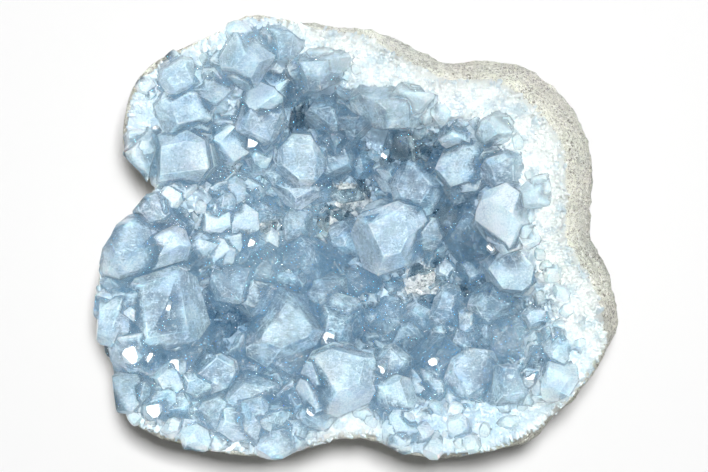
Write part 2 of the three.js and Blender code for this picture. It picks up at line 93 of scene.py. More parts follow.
# The crystals that stand out. Each row: x, y of the tip; how far the tip stands above the
# crust; width, thickness and length of the prism; lean from upright and the way it leans, in
# degrees; turn about its own axis; bluntness, from 0, a sharp wedge, to 1, cut off flat;
# cloudiness, from 0, clear and deep blue, to 1, milky and pale.
LARGE_CRYSTALS = np.array([
    # low left corner
    (-58, -22, 17, 28.5, 23, 28, 10, 60, 18, 0.5, 0.62),
    (-74, -24, 10, 18.5, 12, 18, 30, 190, 82, 0.5, 0.6),
    (-66, 0, 13, 25, 17, 26, 18, 110, 22, 0.55, 0.66),
    (-59, -9, 11, 27.5, 9, 22, 12, 110, 20, 0.2, 0.6),
    (-53, 4, 8, 13.5, 11, 16, 20, 40, 60, 0.4, 0.5),
    (-62, 9, 7, 11, 8.5, 14, 20, 150, 10, 0.4, 0.5),
    (-65, -36, 11, 17, 13.5, 19, 12, 250, 8, 0.55, 0.6),
    (-53, -38, 11, 18.5, 13.5, 20, 14, 300, -12, 0.6, 0.45),
    (-68.5, -47, 13, 12, 12, 19, 8, 200, 85, 0.8, 0.6),
    (-41.5, -41, 13, 12, 11, 18, 8, 60, 60, 0.7, 0.6),
    (-59, -51, 8, 12, 10, 15, 10, 270, 10, 0.5, 0.55),
    (-74, -15, 6, 8.5, 6, 12, 25, 160, 40, 0.3, 0.4),
    (-42, -55, 7, 13.5, 10, 15, 20, 250, 20, 0.4, 0.6),
    # low middle
    (-20, -27, 22, 26, 20.5, 34, 14, 70, 58, 0.45, 0.45),
    (-32, -34, 15, 18.5, 12, 26, 16, 120, 60, 0.3, 0.5),
    (-5, -26, 17, 17, 13.5, 26, 14, 70, 75, 0.25, 0.45),
    (-4, -42, 19, 24, 19.5, 30, 10, 80, 24, 0.6, 0.7),
    (11, -40, 15, 14.5, 12, 22, 12, 60, 50, 0.45, 0.55),
    (10, -49, 10, 18.5, 12, 19, 10, 340, 20, 0.5, 0.8),
    (-31, -49, 11, 19.5, 15, 22, 12, 90, 75, 0.55, 0.7),
    (-17, -49, 10, 13.5, 12, 18, 10, 100, 30, 0.45, 0.55),
    (-36, -57, 7, 14.5, 11, 16, 20, 240, 60, 0.4, 0.8),
    (-24, -58, 7, 12, 10, 15, 22, 270, 10, 0.4, 0.7),
    (-11, -54, 7, 11, 10, 15, 10, 260, 60, 0.5, 0.6),
    (14, -53, 9, 10, 7.5, 16, 42, 92, 0, 0.05, 0.9),
    (24, -38, 14, 18, 16, 24, 10, 90, 45, 0.05, 0.1),
    (35, -41, 11, 18.5, 14.5, 21, 12, 130, 30, 0.6, 0.6),
    (46, -44, 8, 17, 12, 18, 10, 120, 0, 0.6, 0.6),
    (51.5, -42.5, 11, 6, 4.5, 17, 42, 240, 0, 0.3, 0.7),
    (60, -42, 7, 14.5, 11, 17, 20, 130, 60, 0.4, 0.75),
    # middle of the hollow
    (10, -1, 23, 24, 19.5, 36, 12, 210, 20, 0.5, 0.75),
    (18, 14, 16, 19.5, 16, 28, 16, 215, 60, 0.45, 0.45),
    (-16, 22, 16, 16.5, 14.5, 26, 10, 270, 85, 0.75, 0.7),
    (-13, -9, 13, 20.5, 16, 26, 14, 330, 35, 0.2, 0.2),
    (-27, -11, 11, 14.5, 13.5, 22, 14, 290, 60, 0.5, 0.25),
    (-33, -2, 10, 12, 10, 19, 14, 40, 30, 0.35, 0.45),
    (-40, -19, 6, 12, 10, 16, 12, 340, 45, 0.2, 0.3),
    (-44, -30, 7, 11, 10, 16, 14, 20, 0, 0.2, 0.05),
    (-38, 9, 8, 8.5, 6.5, 16, 20, 10, 80, 0.4, 0.5),
    (-28, 9, 6, 14.5, 7.5, 16, 20, 60, 15, 0.2, 0.3),
    (-12, 13, 7, 13.5, 8.5, 18, 20, 300, 0, 0.1, 0.05),
    (-5, -4, 5, 13.5, 11, 16, 14, 30, 40, 0.15, 0.05),
    (3, -14, 7, 12, 10, 17, 16, 60, 20, 0.2, 0.05),
    (9, -24, 8, 13.5, 11, 18, 14, 100, 30, 0.3, 0.35),
    (5, -18, 11, 5.5, 3.5, 18, 35, 85, 0, 0.2, 0.8),
    (2, 22, 6, 12, 10, 16, 18, 240, 30, 0.2, 0.35),
    (30, 5, 6, 13.5, 11, 17, 18, 200, 45, 0.2, 0.15),
    (34, 0, 10, 16, 13.5, 22, 20, 190, 60, 0.6, 0.15),
    (35, -10, 6, 11, 8.5, 15, 20, 170, 30, 0.2, 0.3),
    # right wall
    (31, 17, 19, 14.5, 13.5, 32, 38, 245, 30, 0.3, 0.7),
    (43, 18, 13, 13.5, 11, 24, 30, 235, 20, 0.5, 0.55),
    (41, 5, 17, 20.5, 16, 32, 38, 190, 60, 0.65, 1.0),
    (45, -11, 13, 19.5, 15, 28, 32, 205, 40, 0.5, 0.8),
    (28, -22, 12, 16, 10, 22, 12, 120, 75, 0.4, 0.45),
    (41, -21, 12, 14.5, 12, 22, 16, 230, 40, 0.45, 0.4),
    (45, -31, 8, 18.5, 13.5, 20, 18, 160, 15, 0.4, 0.2),
    (54, -24, 6, 10, 7.5, 15, 25, 190, 30, 0.3, 0.7),
    (52, 12, 7, 11, 8.5, 16, 28, 200, 10, 0.4, 0.6),
    # upper wall
    (40, 30, 7, 11, 8.5, 16, 28, 230, 30, 0.4, 0.5),
    (14, 27, 7, 12, 10, 18, 20, 250, 70, 0.1, 0.1),
    (11, 35, 14, 25, 10.5, 26, 30, 265, 5, 0.3, 0.55),
    (17, 38.5, 6, 13.5, 8.5, 15, 28, 260, 0, 0.4, 0.5),
    (-4, 31, 11, 13.5, 11, 22, 18, 260, 50, 0.5, 0.4),
    (-10, 46, 13, 18, 10.5, 24, 30, 265, 5, 0.35, 0.5),
    (-19, 43, 9, 16, 11, 22, 22, 280, 30, 0.1, 0.1),
    (-28, 34, 13, 17, 13.5, 24, 14, 285, 70, 0.5, 0.65),
    (-32, 50, 12, 17, 14.5, 24, 24, 275, 60, 0.5, 0.75),
    (-21, 56, 6, 14.5, 9.5, 15, 25, 270, 0, 0.4, 0.5),
    (-41, 44, 10, 12, 10, 19, 20, 300, 45, 0.3, 0.65),
    (-51, 46, 9, 12, 10, 17, 20, 300, 30, 0.6, 0.75),
    (-49, 37, 13, 18, 15, 24, 14, 320, 20, 0.6, 0.75),
    (-53, 23, 14, 18.5, 16, 24, 10, 200, 10, 0.65, 0.8),
    (-65, 21, 8, 12, 8.5, 17, 30, 250, 75, 0.3, 0.8),
    (-42, 20, 7, 10, 8.5, 16, 14, 320, 30, 0.3, 0.4),
    (-30, 22, 6, 10, 7.5, 15, 14, 300, 60, 0.2, 0.3),
])

# The columns of those rows, and of the rows of every other crystal.
X, Y, STAND, WIDTH, THICKNESS, LENGTH, LEAN, WAY, TURN, BLUNT, CLOUDY = range(11)

# Patches where sandy rock shows between the crystals: x, y, radius, in millimetres.
SANDY_PATCHES = [
    (0, 11, 10), (-8, 4, 6), (30, 5, 6), (28, 13, 5), (21, -14, 10), (33, -17, 5), (16, 27, 5),
    (-15, 38, 4), (-37, 20, 4), (-26, 3, 5),
]

# Patches of small milky crystals alone: x, y, radius, in millimetres.
SUGARY_PATCHES = [
    (40, -59, 13), (24, -61, 9), (57, -50, 10), (-56, 45, 14), (-66, 34, 8), (-56, -60, 7),
    (-24, 63, 9), (-60, 12, 6),
]

# Where the crystals are milkier (above 0) or clearer and deeper blue (below 0) than
# elsewhere: x, y, radius, in millimetres, and by how much.
DRIFTS = [
    (-58, 32, 26, 0.7), (-42, 50, 20, 0.6), (-25, 60, 14, 0.5), (34, -56, 20, 0.5),
    (-62, -54, 14, 0.4), (-40, -58, 16, 0.4), (10, -55, 14, 0.5), (56, -38, 14, 0.4),
    (52, 8, 14, 0.4), (52, 24, 10, 0.4), (-74, -30, 16, 0.35), (-70, 0, 14, 0.4),
    (-66, 16, 14, 0.5), (-64, 46, 16, 0.5), (-40, 4, 26, 0.25), (-30, 40, 22, 0.25),
    (44, -58, 18, 0.5), (-10, 56, 12, 0.4),
    (-38, -26, 12, -0.8), (23, -38, 9, -0.4), (22, 26, 12, -0.5), (31, 3, 9, -0.5),
    (-9, 17, 7, -0.4), (47, -30, 10, -0.3), (-12, -9, 9, -0.3),
]

# Flat little faces that flash. Each row: x, y; how far they stand above the crust; width,
# thickness and turn.
FLASHES = np.array([
    (-66, -35.5, 12, 6, 5, 20), (-61.5, -36, 11.5, 4, 3.5, 70), (-54, -39, 12, 7, 5, 0),
    (-60, -52, 9, 5.5, 4.5, 10), (-35, -50, 11, 4, 3, 70), (-12, -51.5, 9.5, 4.5, 3.5, 40),
    (-8, -31, 18, 6, 3.5, 70), (8, -40, 17, 5, 2.5, 60), (24, -37.5, 15.5, 3.2, 2.4, 15),
    (52, -41, 12, 7, 3.5, 70), (-59, 32, 12, 2.5, 1.5, 30), (-46, 22, 9, 2.5, 1.5, 80),
    (9, 24, 13, 6, 2, 60), (-31, 28, 13, 4, 3, 10), (41, -3, 15, 4, 3, 50),
    (-55.5, -22, 19.5, 11, 1.6, 80), (-31, -2, 12, 3.5, 2.2, 70),
])
FLASH_LENGTH, FLASH_CLOUDINESS = 9.0, 0.6

SHARDS = 190  # how many thin blades lie over the sandy patches
LENGTH_TO_WIDTH = 1.7  # of the medium, small and tiny crystals

EYE = (0.0, 0.0, 1.05)  # where the camera stands, in metres
AIM = (0.0, 0.0, 0.05)  # what the lamps face and the camera frames, in metres
FRAME_WIDTH = 0.2124  # what the camera takes in across, at the level of the aim, in metres
GLINT_LAMP = (-0.3, 0.35, 1.5)  # the lamp that the flat little faces mirror, in metres

WIDEST_SHARE = 0.62  # height of the widest level, as a share of the rim's
EDGE_BACK = 0.6  # how far in the rock's broken edge goes past the rim's inner edge, in mm
EDGE_DROP = 1.2  # how far it falls on the way, in mm
BAND_DROP = 3  # how far the massive band falls from its edge to the hollow, in mm
BOWL_POWER = 2.7  # how late the bowl of the hollow turns up towards the band
RIM_WALK = 40  # radius of the circle that the rim's raggedness is read along, in mm

# Steps along the rock's profile: under it, up its side, over its rim and down its inside.
FOOT_STEPS, SIDE_STEPS, EDGE_STEPS, INSIDE_STEPS = 10, 150, 9, 12
ROCK_ANGLES, CRUST_ANGLES, CUTTER_ANGLES = 440, 960, 130  # steps round each skin
CRUST_RINGS = 92  # steps from the crust's edge to its middle
CUTTER_STEPS = 8  # steps down the cutter's inside

# The grains that roughen the rock. Each row: height and size in millimetres, and seed.
ROCK_GRAINS = ((1.0, 13, 1), (0.65, 5.5, 2), (0.5, 2.6, 3), (0.34, 1.3, 4))

CELESTITE_IOR = 1.62
PALE_BLUE = (0.32, 0.43, 0.48)  # the drifts in massive and tiny crystals


# ---- properties ----------------------------------------------------------------------------
def length_property(name, description, default):
    """A length that the user types in millimetres."""
    return FloatProperty(name=name, description=description, default=default, min=0.0,
                         soft_max=100.0)


def colour_property(name, description, default):
    """A colour with its swatch."""
    return FloatVectorProperty(name=name, description=description, default=default,
                               subtype="COLOR", size=3, min=0.0, max=1.0)


class GeodeSizes(bpy.types.PropertyGroup):
    flat_half_x: length_property("Flat Spot X", "Half length of the resting spot, mm", 30.0)
    flat_half_y: length_property("Flat Spot Y", "Half width of the resting spot, mm", 24.0)
    rind_floor: length_property("Rock Floor", "Rock left under the hollow, mm", 11.0)
    rind_wall: length_property("Rock Wall", "Rock round the hollow at its widest, mm", 8.0)
    rind_lip: length_property("Rock Edge", "Width of the broken rock at the rim, mm", 3.0)
    hollow_floor: length_property("Hollow Floor", "Height of the crust in the hollow, mm", 25.0)
    white_band: length_property("White Band", "Width of the massive white rim, mm", 9.0)
    bevel: length_property("Edge Wear", "Width of the worn edges of large crystals, mm", 0.28)
    small_spacing: length_property("Small Spacing", "Distance between small crystals, mm", 4.4)
    druse_spacing: length_property("Druse Spacing", "Distance between tiny crystals, mm", 0.85)


class GeodeColours(bpy.types.PropertyGroup):
    rock: colour_property("Rock", "Sandy grey of the outer rock", (0.68, 0.70, 0.59))
    rock_dark: colour_property("Dark Grains", "Colour of its darkest grains", (0.09, 0.08, 0.06))
    massive: colour_property("Massive", "White celestite at the rim", (0.61, 0.65, 0.63))
    milk: colour_property("Crystal Milk", "Cloudy part of pale crystals", (0.57, 0.685, 0.735))
    depth: colour_property("Crystal Blue", "Cloudy part of deep blue crystals", (0.09, 0.19, 0.28))
    absorbed: colour_property("Crystal Glass", "Light left after a stretch", (0.42, 0.74, 0.86))
    density: FloatProperty(name="Glass Density", description="How fast crystals deepen, per m",
                           default=8.0, min=0.0, soft_max=500.0)


# ---- numbers over the surface ---------------------------------------------------------------
def smooth(value, low, high):
    """0 below low, 1 above high and a smooth step, 3t^2 - 2t^3, between."""
    t = np.clip((value - low) / (high - low), 0, 1)
    return t * t * (3 - 2 * t)


def wobble(index, face):
    """Twice the fraction of a large multiple of a sine, less 1: a fixed number from -1 to 1."""
    s = np.sin((index + 1) * 12.9898 + (face + 1) * 78.233) * 43758.5453
    return 2 * (s - np.floor(s)) - 1


def lattice(cells, seed):
    """One fixed random number from -1 to 1 for each whole-number cell, by integer mixing."""
    c = cells.astype(np.int64)
    h = (c[..., 0] * 374761393 + c[..., 1] * 668265263 + c[..., 2] * 1274126177 + seed * 9781)
    h = h & 0xFFFFFFFF
    h = ((h ^ (h >> 13)) * 1103515245) & 0xFFFFFFFF
    h = ((h ^ (h >> 16)) * 2654435761) & 0xFFFFFFFF
    return ((h ^ (h >> 15)) & 0xFFFFFF) / 8388607.5 - 1


def grain(points, size, seed):
    """Value noise: lattice numbers at cell corners, blended by smooth steps along each axis."""
    p = points / size
    base = np.floor(p)
    t = p - base
    t = t * t * (3 - 2 * t)
    total = 0
    for corner in itertools.product((0, 1), repeat=3):
        c = np.array(corner)
        weight = np.prod(np.where(c == 1, t, 1 - t), axis=-1)
        total = total + weight * lattice(base + c, seed)
    return total


def lumps(x, y, z):
    """Soft lumps: products of sines that go a few times across the nodule, about -1 to 1."""
    return (
        0.45 * np.sin(0.062 * x + 0.021 * z + 0.6) * np.cos(0.071 * y - 0.03 * z + 1.1)
        + 0.35 * np.sin(0.131 * y + 0.082 * x - 2.0) * np.cos(0.118 * z + 0.05 * x)
        + 0.2 * np.sin(0.23 * x - 0.19 * y + 0.21 * z)
    )


def closed_curve(rows, steps):
    """Catmull-Rom: each stretch is a cubic through two rows whose slopes are half the
    difference of the rows on either side."""
    a, b, c, d = (np.roll(rows, k, axis=0)[:, None] for k in (1, 0, -1, -2))
    t = (np.arange(steps) / steps)[None, :, None]
    curve = 0.5 * (2 * b + (c - a) * t + (2 * a - 5 * b + 4 * c - d) * t**2
                   + (3 * b - a - 3 * c + d) * t**3)
    return curve.reshape(-1, rows.shape[1])


OUTLINE_CURVE = closed_curve(OUTLINE, steps=30)
OUTLINE_ANGLE = np.arctan2(OUTLINE_CURVE[:, 1], OUTLINE_CURVE[:, 0])
OUTLINE_REACH = np.hypot(OUTLINE_CURVE[:, 0], OUTLINE_CURVE[:, 1])
Around = namedtuple("Around", "reach bare rim flat cover lip")


def around(angle):
    """The outline as functions of the angle: reach, width of bare rock, rim's height, flat
    spot's radius, how far the crust covers the rim (0 to 1), and radius of the rim's inner edge.
    The first three run straight between the points of the outline's curve."""
    sizes = bpy.context.scene.geode_sizes
    reach, bare, rim = (np.interp(angle, OUTLINE_ANGLE, values, period=2 * math.pi)
                        for values in (OUTLINE_REACH, OUTLINE_CURVE[:, 2], OUTLINE_CURVE[:, 3]))
    flat = 1 / np.hypot(np.cos(angle) / sizes.flat_half_x, np.sin(angle) / sizes.flat_half_y)
    cover = np.clip((4 - bare) / 2.5, 0.02, 1)
    return Around(reach, bare, rim, flat, cover, reach - bare - sizes.rind_lip)


def polar(points):
    """Each point's distance from the middle, and its angle."""
    return np.hypot(points[:, 0], points[:, 1]), np.arctan2(points[:, 1], points[:, 0])


def far_from(points, x, y):
    """Each point's distance from a place, seen from above."""
    return np.hypot(points[:, 0] - x, points[:, 1] - y)


def crust_height(x, y):
    """Height of the crust: a bowl, floor + rise * (r / band)^2.7, a gentle slope outside the
    band up to its edge, with lumps, and past the rim no higher than the quarter ellipse of the
    rock."""
    sizes = bpy.context.scene.geode_sizes
    at = around(np.arctan2(y, x))
    band = at.lip - sizes.white_band
    r = np.hypot(x, y)
    top = at.rim - EDGE_DROP + 0.9 + 2.6 * at.cover - BAND_DROP
    rough = 1.1 * lumps(2.3 * x, 2.3 * y, 9)
    outer = top + BAND_DROP * np.minimum(1, (r - band) / sizes.white_band) + 0.4 * rough
    rise = (top - sizes.hollow_floor) * np.minimum(r / band, 1)**BOWL_POWER
    bowl = sizes.hollow_floor + rise + rough
    widest = at.rim * WIDEST_SHARE
    q = np.clip((at.reach - r) / at.bare, 0, 1)
    outside = widest + (at.rim - widest) * np.sqrt(2 * q - q * q)
    inside = np.where(r > band, outer, bowl)
    return np.where(r > at.lip + sizes.rind_lip, np.minimum(inside, outside), inside)


def crust_normal(x, y):
    """Unit normal of the crust, from differences of its height a little way along x and y."""
    step = 1.5
    dx = (crust_height(x + step, y) - crust_height(x - step, y)) / (2 * step)
    dy = (crust_height(x, y + step) - crust_height(x, y - step)) / (2 * step)
    n = np.stack([-dx, -dy, np.ones_like(dx)], axis=-1)
    return n / np.linalg.norm(n, axis=-1, keepdims=True)


# ---- meshes --------------------------------------------------------------------------------
def mesh_from_arrays(name, points, corners, counts):
    """A mesh from points in millimetres, the corners of all faces in a row, and each face's
    number of corners."""
    mesh = bpy.data.meshes.new(name)
    mesh.vertices.add(len(points))
    mesh.vertices.foreach_set("co", (points * MM).astype(np.float32).ravel())
    mesh.loops.add(len(corners))
    mesh.loops.foreach_set("vertex_index", corners.astype(np.int32))
    mesh.polygons.add(len(counts))
    starts = np.concatenate([[0], np.cumsum(counts)[:-1]])
    mesh.polygons.foreach_set("loop_start", starts.astype(np.int32))
    mesh.polygons.foreach_set("loop_total", counts.astype(np.int32))
    mesh.update(calc_edges=True)
    mesh.validate()
    return mesh


def skin_mesh(name, rings, low, high):
    """A closed skin: rings[i, j] is the point at angle i and profile step j; the first and last
    steps close on the poles low and high."""
    n, m = rings.shape[:2]
    points = np.concatenate([rings.reshape(-1, 3), [low, high]])
    i, j = np.meshgrid(np.arange(n), np.arange(m - 1), indexing="ij")
    k = (i + 1) % n
    quads = np.stack([i * m + j, k * m + j, k * m + j + 1, i * m + j + 1], axis=-1)
    a = np.arange(n)
    b = (a + 1) % n
    bottom = np.stack([np.full(n, n * m), b * m, a * m], axis=-1)
    top = np.stack([np.full(n, n * m + 1), a * m + m - 1, b * m + m - 1], axis=-1)
    corners = np.concatenate([quads.ravel(), bottom.ravel(), top.ravel()])
    counts = np.concatenate([np.full(quads.size // 4, 4), np.full(2 * n, 3)])
    return mesh_from_arrays(name, points, corners, counts)


def angles_round(count):
    """Even angles all the way round, as a column."""
    return (np.arange(count) / count * 2 * math.pi)[:, None]


def ring_points(angle, r, z):
    """The points at the angles, radii and heights."""
    return np.stack([r * np.cos(angle), r * np.sin(angle), z], axis=-1)


def ring_normals(rings):
    """Outward unit normals of a skin: the cross product of its differences both ways."""
    round_it = np.roll(rings, -1, axis=0) - np.roll(rings, 1, axis=0)
    along = np.gradient(rings, axis=1)
    n = np.cross(round_it, along)
    return n / np.maximum(np.linalg.norm(n, axis=-1, keepdims=True), 1e-9)


def points_of(mesh):
    """The mesh's points, in millimetres."""
    co = np.zeros(3 * len(mesh.vertices), np.float32)
    mesh.vertices.foreach_get("co", co)
    return co.reshape(-1, 3) / MM


def add_value(mesh, name, values, domain):
    """Stores one number for each point or face of the mesh."""
    attribute = mesh.attributes.new(name, "FLOAT", domain)
    attribute.data.foreach_set("value", np.asarray(values, np.float32))


def placed(name, mesh, material, node, smooth_faces):
    """An object for the mesh, riding on the geode and standing for its CAD solid."""
    piece = bpy.data.objects.new(name, mesh)
    bpy.context.scene.collection.objects.link(piece)
    mesh.materials.clear()
    mesh.materials.append(material)
    mesh.polygons.foreach_set("use_smooth", np.full(len(mesh.polygons), smooth_faces))
    mesh.update()
    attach(piece, "root")
    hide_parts(node)
    return piece


# ---- the rock ------------------------------------------------------------------------------
def inside_profile(at, steps, outward, back, under):
    """Radii and heights down the rock's inside, all but the last, which the pole takes: a quarter
    ellipse from the rim's inner edge, so far back from it and so far under the rim, out to the
    wall at the widest level, moved outward, and a quarter ellipse from there in to the floor."""
    sizes = bpy.context.scene.geode_sizes
    widest = at.rim * WIDEST_SHARE
    down = math.pi / 2 - np.linspace(0, 1, steps)[None, :] * math.pi
    across = at.reach - sizes.rind_wall + outward
    span = np.where(down > 0, across - (at.lip - back), across - at.flat + sizes.rind_wall)
    rise = np.where(down > 0, at.rim - under - widest, widest - sizes.rind_floor)
    r = across - span * (1 - np.cos(down))
    z = widest + rise * np.sin(down)
    return r[:, :-1], z[:, :-1]


def rock_rings():
    """The rock's skin. Below the widest level the side is a quarter ellipse from the flat spot
    out to the reach; above it a quarter ellipse back in to the rim. Lumps move it in and out,
    least at the widest level, and not at all at the flat spot. The rim is a straight edge."""
    angle = angles_round(ROCK_ANGLES)
    at = around(angle)
    widest = at.rim * WIDEST_SHARE
    turn = np.linspace(0, 1, SIDE_STEPS)[None, :] * math.pi - math.pi / 2
    span = np.where(turn < 0, at.reach - at.flat, at.bare)
    rise = np.where(turn < 0, widest, at.rim - widest)
    r_side = at.reach - span * (1 - np.cos(turn))
    z_side = widest + rise * np.sin(turn)
    free = np.clip(z_side / 12, 0, 1) * np.clip(np.abs(z_side - widest) / 14 + 0.25, 0, 1)
    x, y = r_side * np.cos(angle), r_side * np.sin(angle)
    r_side = r_side + 1.6 * free * lumps(x, y, z_side)
    r_foot = at.flat * np.linspace(0.1, 0.95, FOOT_STEPS)[None, :]
    r_rim, z_rim = r_side[:, -1:], z_side[:, -1:]
    edge = np.linspace(0.08, 1, EDGE_STEPS)[None, :]
    r_edge = r_rim + (at.lip - EDGE_BACK - r_rim) * edge
    z_edge = z_rim + (at.rim - EDGE_DROP - z_rim) * edge
    r_in, z_in = inside_profile(at, INSIDE_STEPS, outward=0, back=EDGE_BACK, under=4.0)
    r = np.concatenate([r_foot, r_side, r_edge, r_in], axis=1)
    z = np.concatenate([0 * r_foot, z_side, z_edge, z_in], axis=1)
    return ring_points(angle, r, z)


def rough_rock(rings):
    """Moves the rock's outside along its normal by the grains and by pits, less towards the flat
    spot, which stays flat. The hidden inside stays as it is."""
    visible = np.zeros(rings.shape[:2])
    visible[:, FOOT_STEPS:FOOT_STEPS + SIDE_STEPS + EDGE_STEPS] = 1
    lift = smooth(rings[..., 2], 0.5, 9) * visible
    move = sum(height * grain(rings, size, seed) for height, size, seed in ROCK_GRAINS)
    pits = -0.9 * smooth(grain(rings, 3.4, 5), 0.25, 0.7)
    return rings + ring_normals(rings) * ((move + pits - 0.35) * lift)[..., None]


# ---- crystals ------------------------------------------------------------------------------
PRISM_FACE = math.radians(52)  # turn of the slanted sides' normals from the width
ROOF_FACE = math.radians(42)  # turn of the two roof faces' normals from the growth axis
END_FACE = math.radians(50)  # turn of the two end faces' normals from the growth axis
TIP_FACE = math.radians(52)  # turn of the uneven faces' normals from the growth axis
SIDES = ((1, 1), (-1, 1), (-1, -1), (1, -1))


class Planes:
    """The faces of many like crystals, as outward normals and as distances from the root."""

    def __init__(self, count):
        self.zero = np.zeros(count)
        self.normals, self.distances = [], []

    def add(self, normal, distance):
        self.normals.append(np.stack([a + self.zero for a in normal], axis=-1))
        self.distances.append(distance + self.zero)

    def stacked(self):
        return np.stack(self.normals, axis=1), np.stack(self.distances, axis=1)


def crystal_planes(rows, index):
    """The faces of each crystal: four slanted sides, two roof faces that lean to a ridge, two
    end faces that cut the ridge short, a flat top below it, three uneven faces round the tip,
    and the block they are cut from. All start from the root, with the crystal growing along z."""
    width, thickness, length, blunt = (rows[:, k] for k in (WIDTH, THICKNESS, LENGTH, BLUNT))
    planes = Planes(len(rows))
    corner = width / 2 * math.cos(PRISM_FACE) + thickness / 2 * math.sin(PRISM_FACE)
    for k, (sx, sy) in enumerate(SIDES):
        planes.add((sx * math.cos(PRISM_FACE), sy * math.sin(PRISM_FACE), 0),
                   corner * (0.74 + 0.11 * wobble(index, k)))
    roof = ROOF_FACE + math.radians(7) * wobble(index, 4)
    ridge = 0.16 * width * wobble(index, 5)
    high = length + (0.08 + 0.36 * blunt) * np.minimum(width, thickness)
    for s in (1, -1):
        planes.add((s * np.sin(roof), 0, np.cos(roof)),
                   high * np.cos(roof) + s * ridge * np.sin(roof))
    end = END_FACE + math.radians(4) * wobble(index, 6)
    for k, s in ((7, 1), (8, -1)):
        reach = thickness * (0.08 + 0.12 * wobble(index, k))
        planes.add((0, s * np.sin(end), np.cos(end)), high * np.cos(end) + reach * np.sin(end))
    uneven = np.where(blunt < 1, 0.2, 0)
    tip = np.stack([uneven * wobble(index, 9), uneven * wobble(index, 10),
                    np.ones(len(rows))], axis=-1)
    tip = tip / np.linalg.norm(tip, axis=-1, keepdims=True)
    planes.add(tip.T, length * tip[:, 2])
    for k in (11, 14, 17):
        way = math.pi * wobble(index, k)
        tilt = TIP_FACE + math.radians(20) * wobble(index, k + 1)
        reach = np.minimum(width, thickness) * (0.36 + 0.1 * wobble(index, k + 2))
        planes.add((np.cos(way) * np.sin(tilt), np.sin(way) * np.sin(tilt), np.cos(tilt)),
                   length * np.cos(tilt) + reach * np.sin(tilt))
    for s in (1, -1):
        planes.add((s, 0, 0), width / 2)
    for s in (1, -1):
        planes.add((0, s, 0), thickness / 2)
    planes.add((0, 0, -1), 0)
    return planes.stacked()


def grain_planes(rows, index):
    """The faces of each tiny crystal: four slanted sides, two roof faces and the root."""
    width, thickness, length = (rows[:, k] for k in (WIDTH, THICKNESS, LENGTH))
    planes = Planes(len(rows))
    for k, (sx, sy) in enumerate(SIDES):
        turn = PRISM_FACE + 0.2 * wobble(index, k)
        planes.add((sx * np.cos(turn), sy * np.sin(turn), 0),
                   width / 2 * np.cos(turn) + thickness / 4 * np.sin(turn))
    roof = ROOF_FACE + 0.25 * wobble(index, 4)
    for s in (1, -1):
        planes.add((s * np.sin(roof), 0, np.cos(roof)), length * np.cos(roof))
    planes.add((0, 0, -1), 0)
    return planes.stacked()


SLACK = 1e-6  # what rounding is allowed where planes meet and where a corner lies on a face


def cut_solids(normals, distances):
    """The corners and faces of solids given by their planes. Every three planes of a solid meet
    in a point, and the points behind all its planes are its corners. A face's corners are the
    points on its plane, in order of their angle round its middle."""
    faces = normals.shape[1]
    triples = np.array(list(itertools.combinations(range(faces), 3)))
    a, b, c = (normals[:, triples[:, k]] for k in range(3))
    da, db, dc = (distances[:, triples[:, k]][..., None] for k in range(3))
    volume = np.einsum("nti,nti->nt", a, np.cross(b, c))
    usable = np.abs(volume) > SLACK
    safe = np.where(usable, volume, 1)[..., None]
    points = (da * np.cross(b, c) + db * np.cross(c, a) + dc * np.cross(a, b)) / safe
    depth = np.einsum("nti,nfi->ntf", points, normals) - distances[:, None, :]
    usable &= (depth < SLACK).all(axis=-1)
    solid, triple = np.nonzero(usable)
    points = points[solid, triple]
    use = np.repeat(np.arange(len(points)), 3)
    face = triples[triple].ravel()
    owner = np.repeat(solid, 3) * faces + face
    order = np.argsort(owner, kind="stable")
    use, owner = use[order], owner[order]
    starts = np.concatenate([[0], np.nonzero(np.diff(owner))[0] + 1])
    counts = np.diff(np.concatenate([starts, [len(owner)]]))
    middle = np.add.reduceat(points[use], starts, axis=0) / counts[:, None]
    group = np.repeat(np.arange(len(starts)), counts)
    plane = normals.reshape(-1, 3)[owner[starts]]
    helper = np.where(np.abs(plane[:, 2:3]) < 0.9, [[0.0, 0.0, 1.0]], [[1.0, 0.0, 0.0]])
    u = np.cross(helper, plane)
    u /= np.linalg.norm(u, axis=1, keepdims=True)
    v = np.cross(plane, u)
    arm = points[use] - middle[group]
    angle = np.arctan2(np.einsum("ij,ij->i", arm, v[group]), np.einsum("ij,ij->i", arm, u[group]))
    order = np.lexsort([angle, group])
    keep = counts >= 3
    corners = use[order][np.repeat(keep, counts)]
    return points, solid, corners, counts[keep], owner[starts][keep] // faces


def standing(rows):
    """Each crystal's tip, and the rotation that turns it about its axis and then leans it over
    by the shortest way from +Z."""
    x, y = rows[:, X], rows[:, Y]
    lean, way, turn = (np.radians(rows[:, k]) for k in (LEAN, WAY, TURN))
    axis = np.stack([np.sin(lean) * np.cos(way), np.sin(lean) * np.sin(way), np.cos(lean)], -1)
    k = np.zeros((len(rows), 3, 3))
    k[:, :2, 2] = axis[:, :2]
    k[:, 2, :2] = -axis[:, :2]
    rotation = np.eye(3) + k + k @ k / (1 + axis[:, 2])[:, None, None]
    spin = np.zeros((len(rows), 3, 3))
    spin[:, 0, 0], spin[:, 0, 1] = np.cos(turn), -np.sin(turn)
    spin[:, 1, 0], spin[:, 1, 1] = np.sin(turn), np.cos(turn)
    spin[:, 2, 2] = 1
    return np.stack([x, y, crust_height(x, y) + rows[:, STAND]], -1), rotation @ spin


def stand_up(points, solid, rows):
    """The crystals' points turned, leaned over and put under their tips."""
    tip, rotation = standing(rows)
    root = tip - rotation[:, :, 2] * rows[:, [LENGTH]]
    return np.einsum("nij,nj->ni", rotation[solid], points) + root[solid]


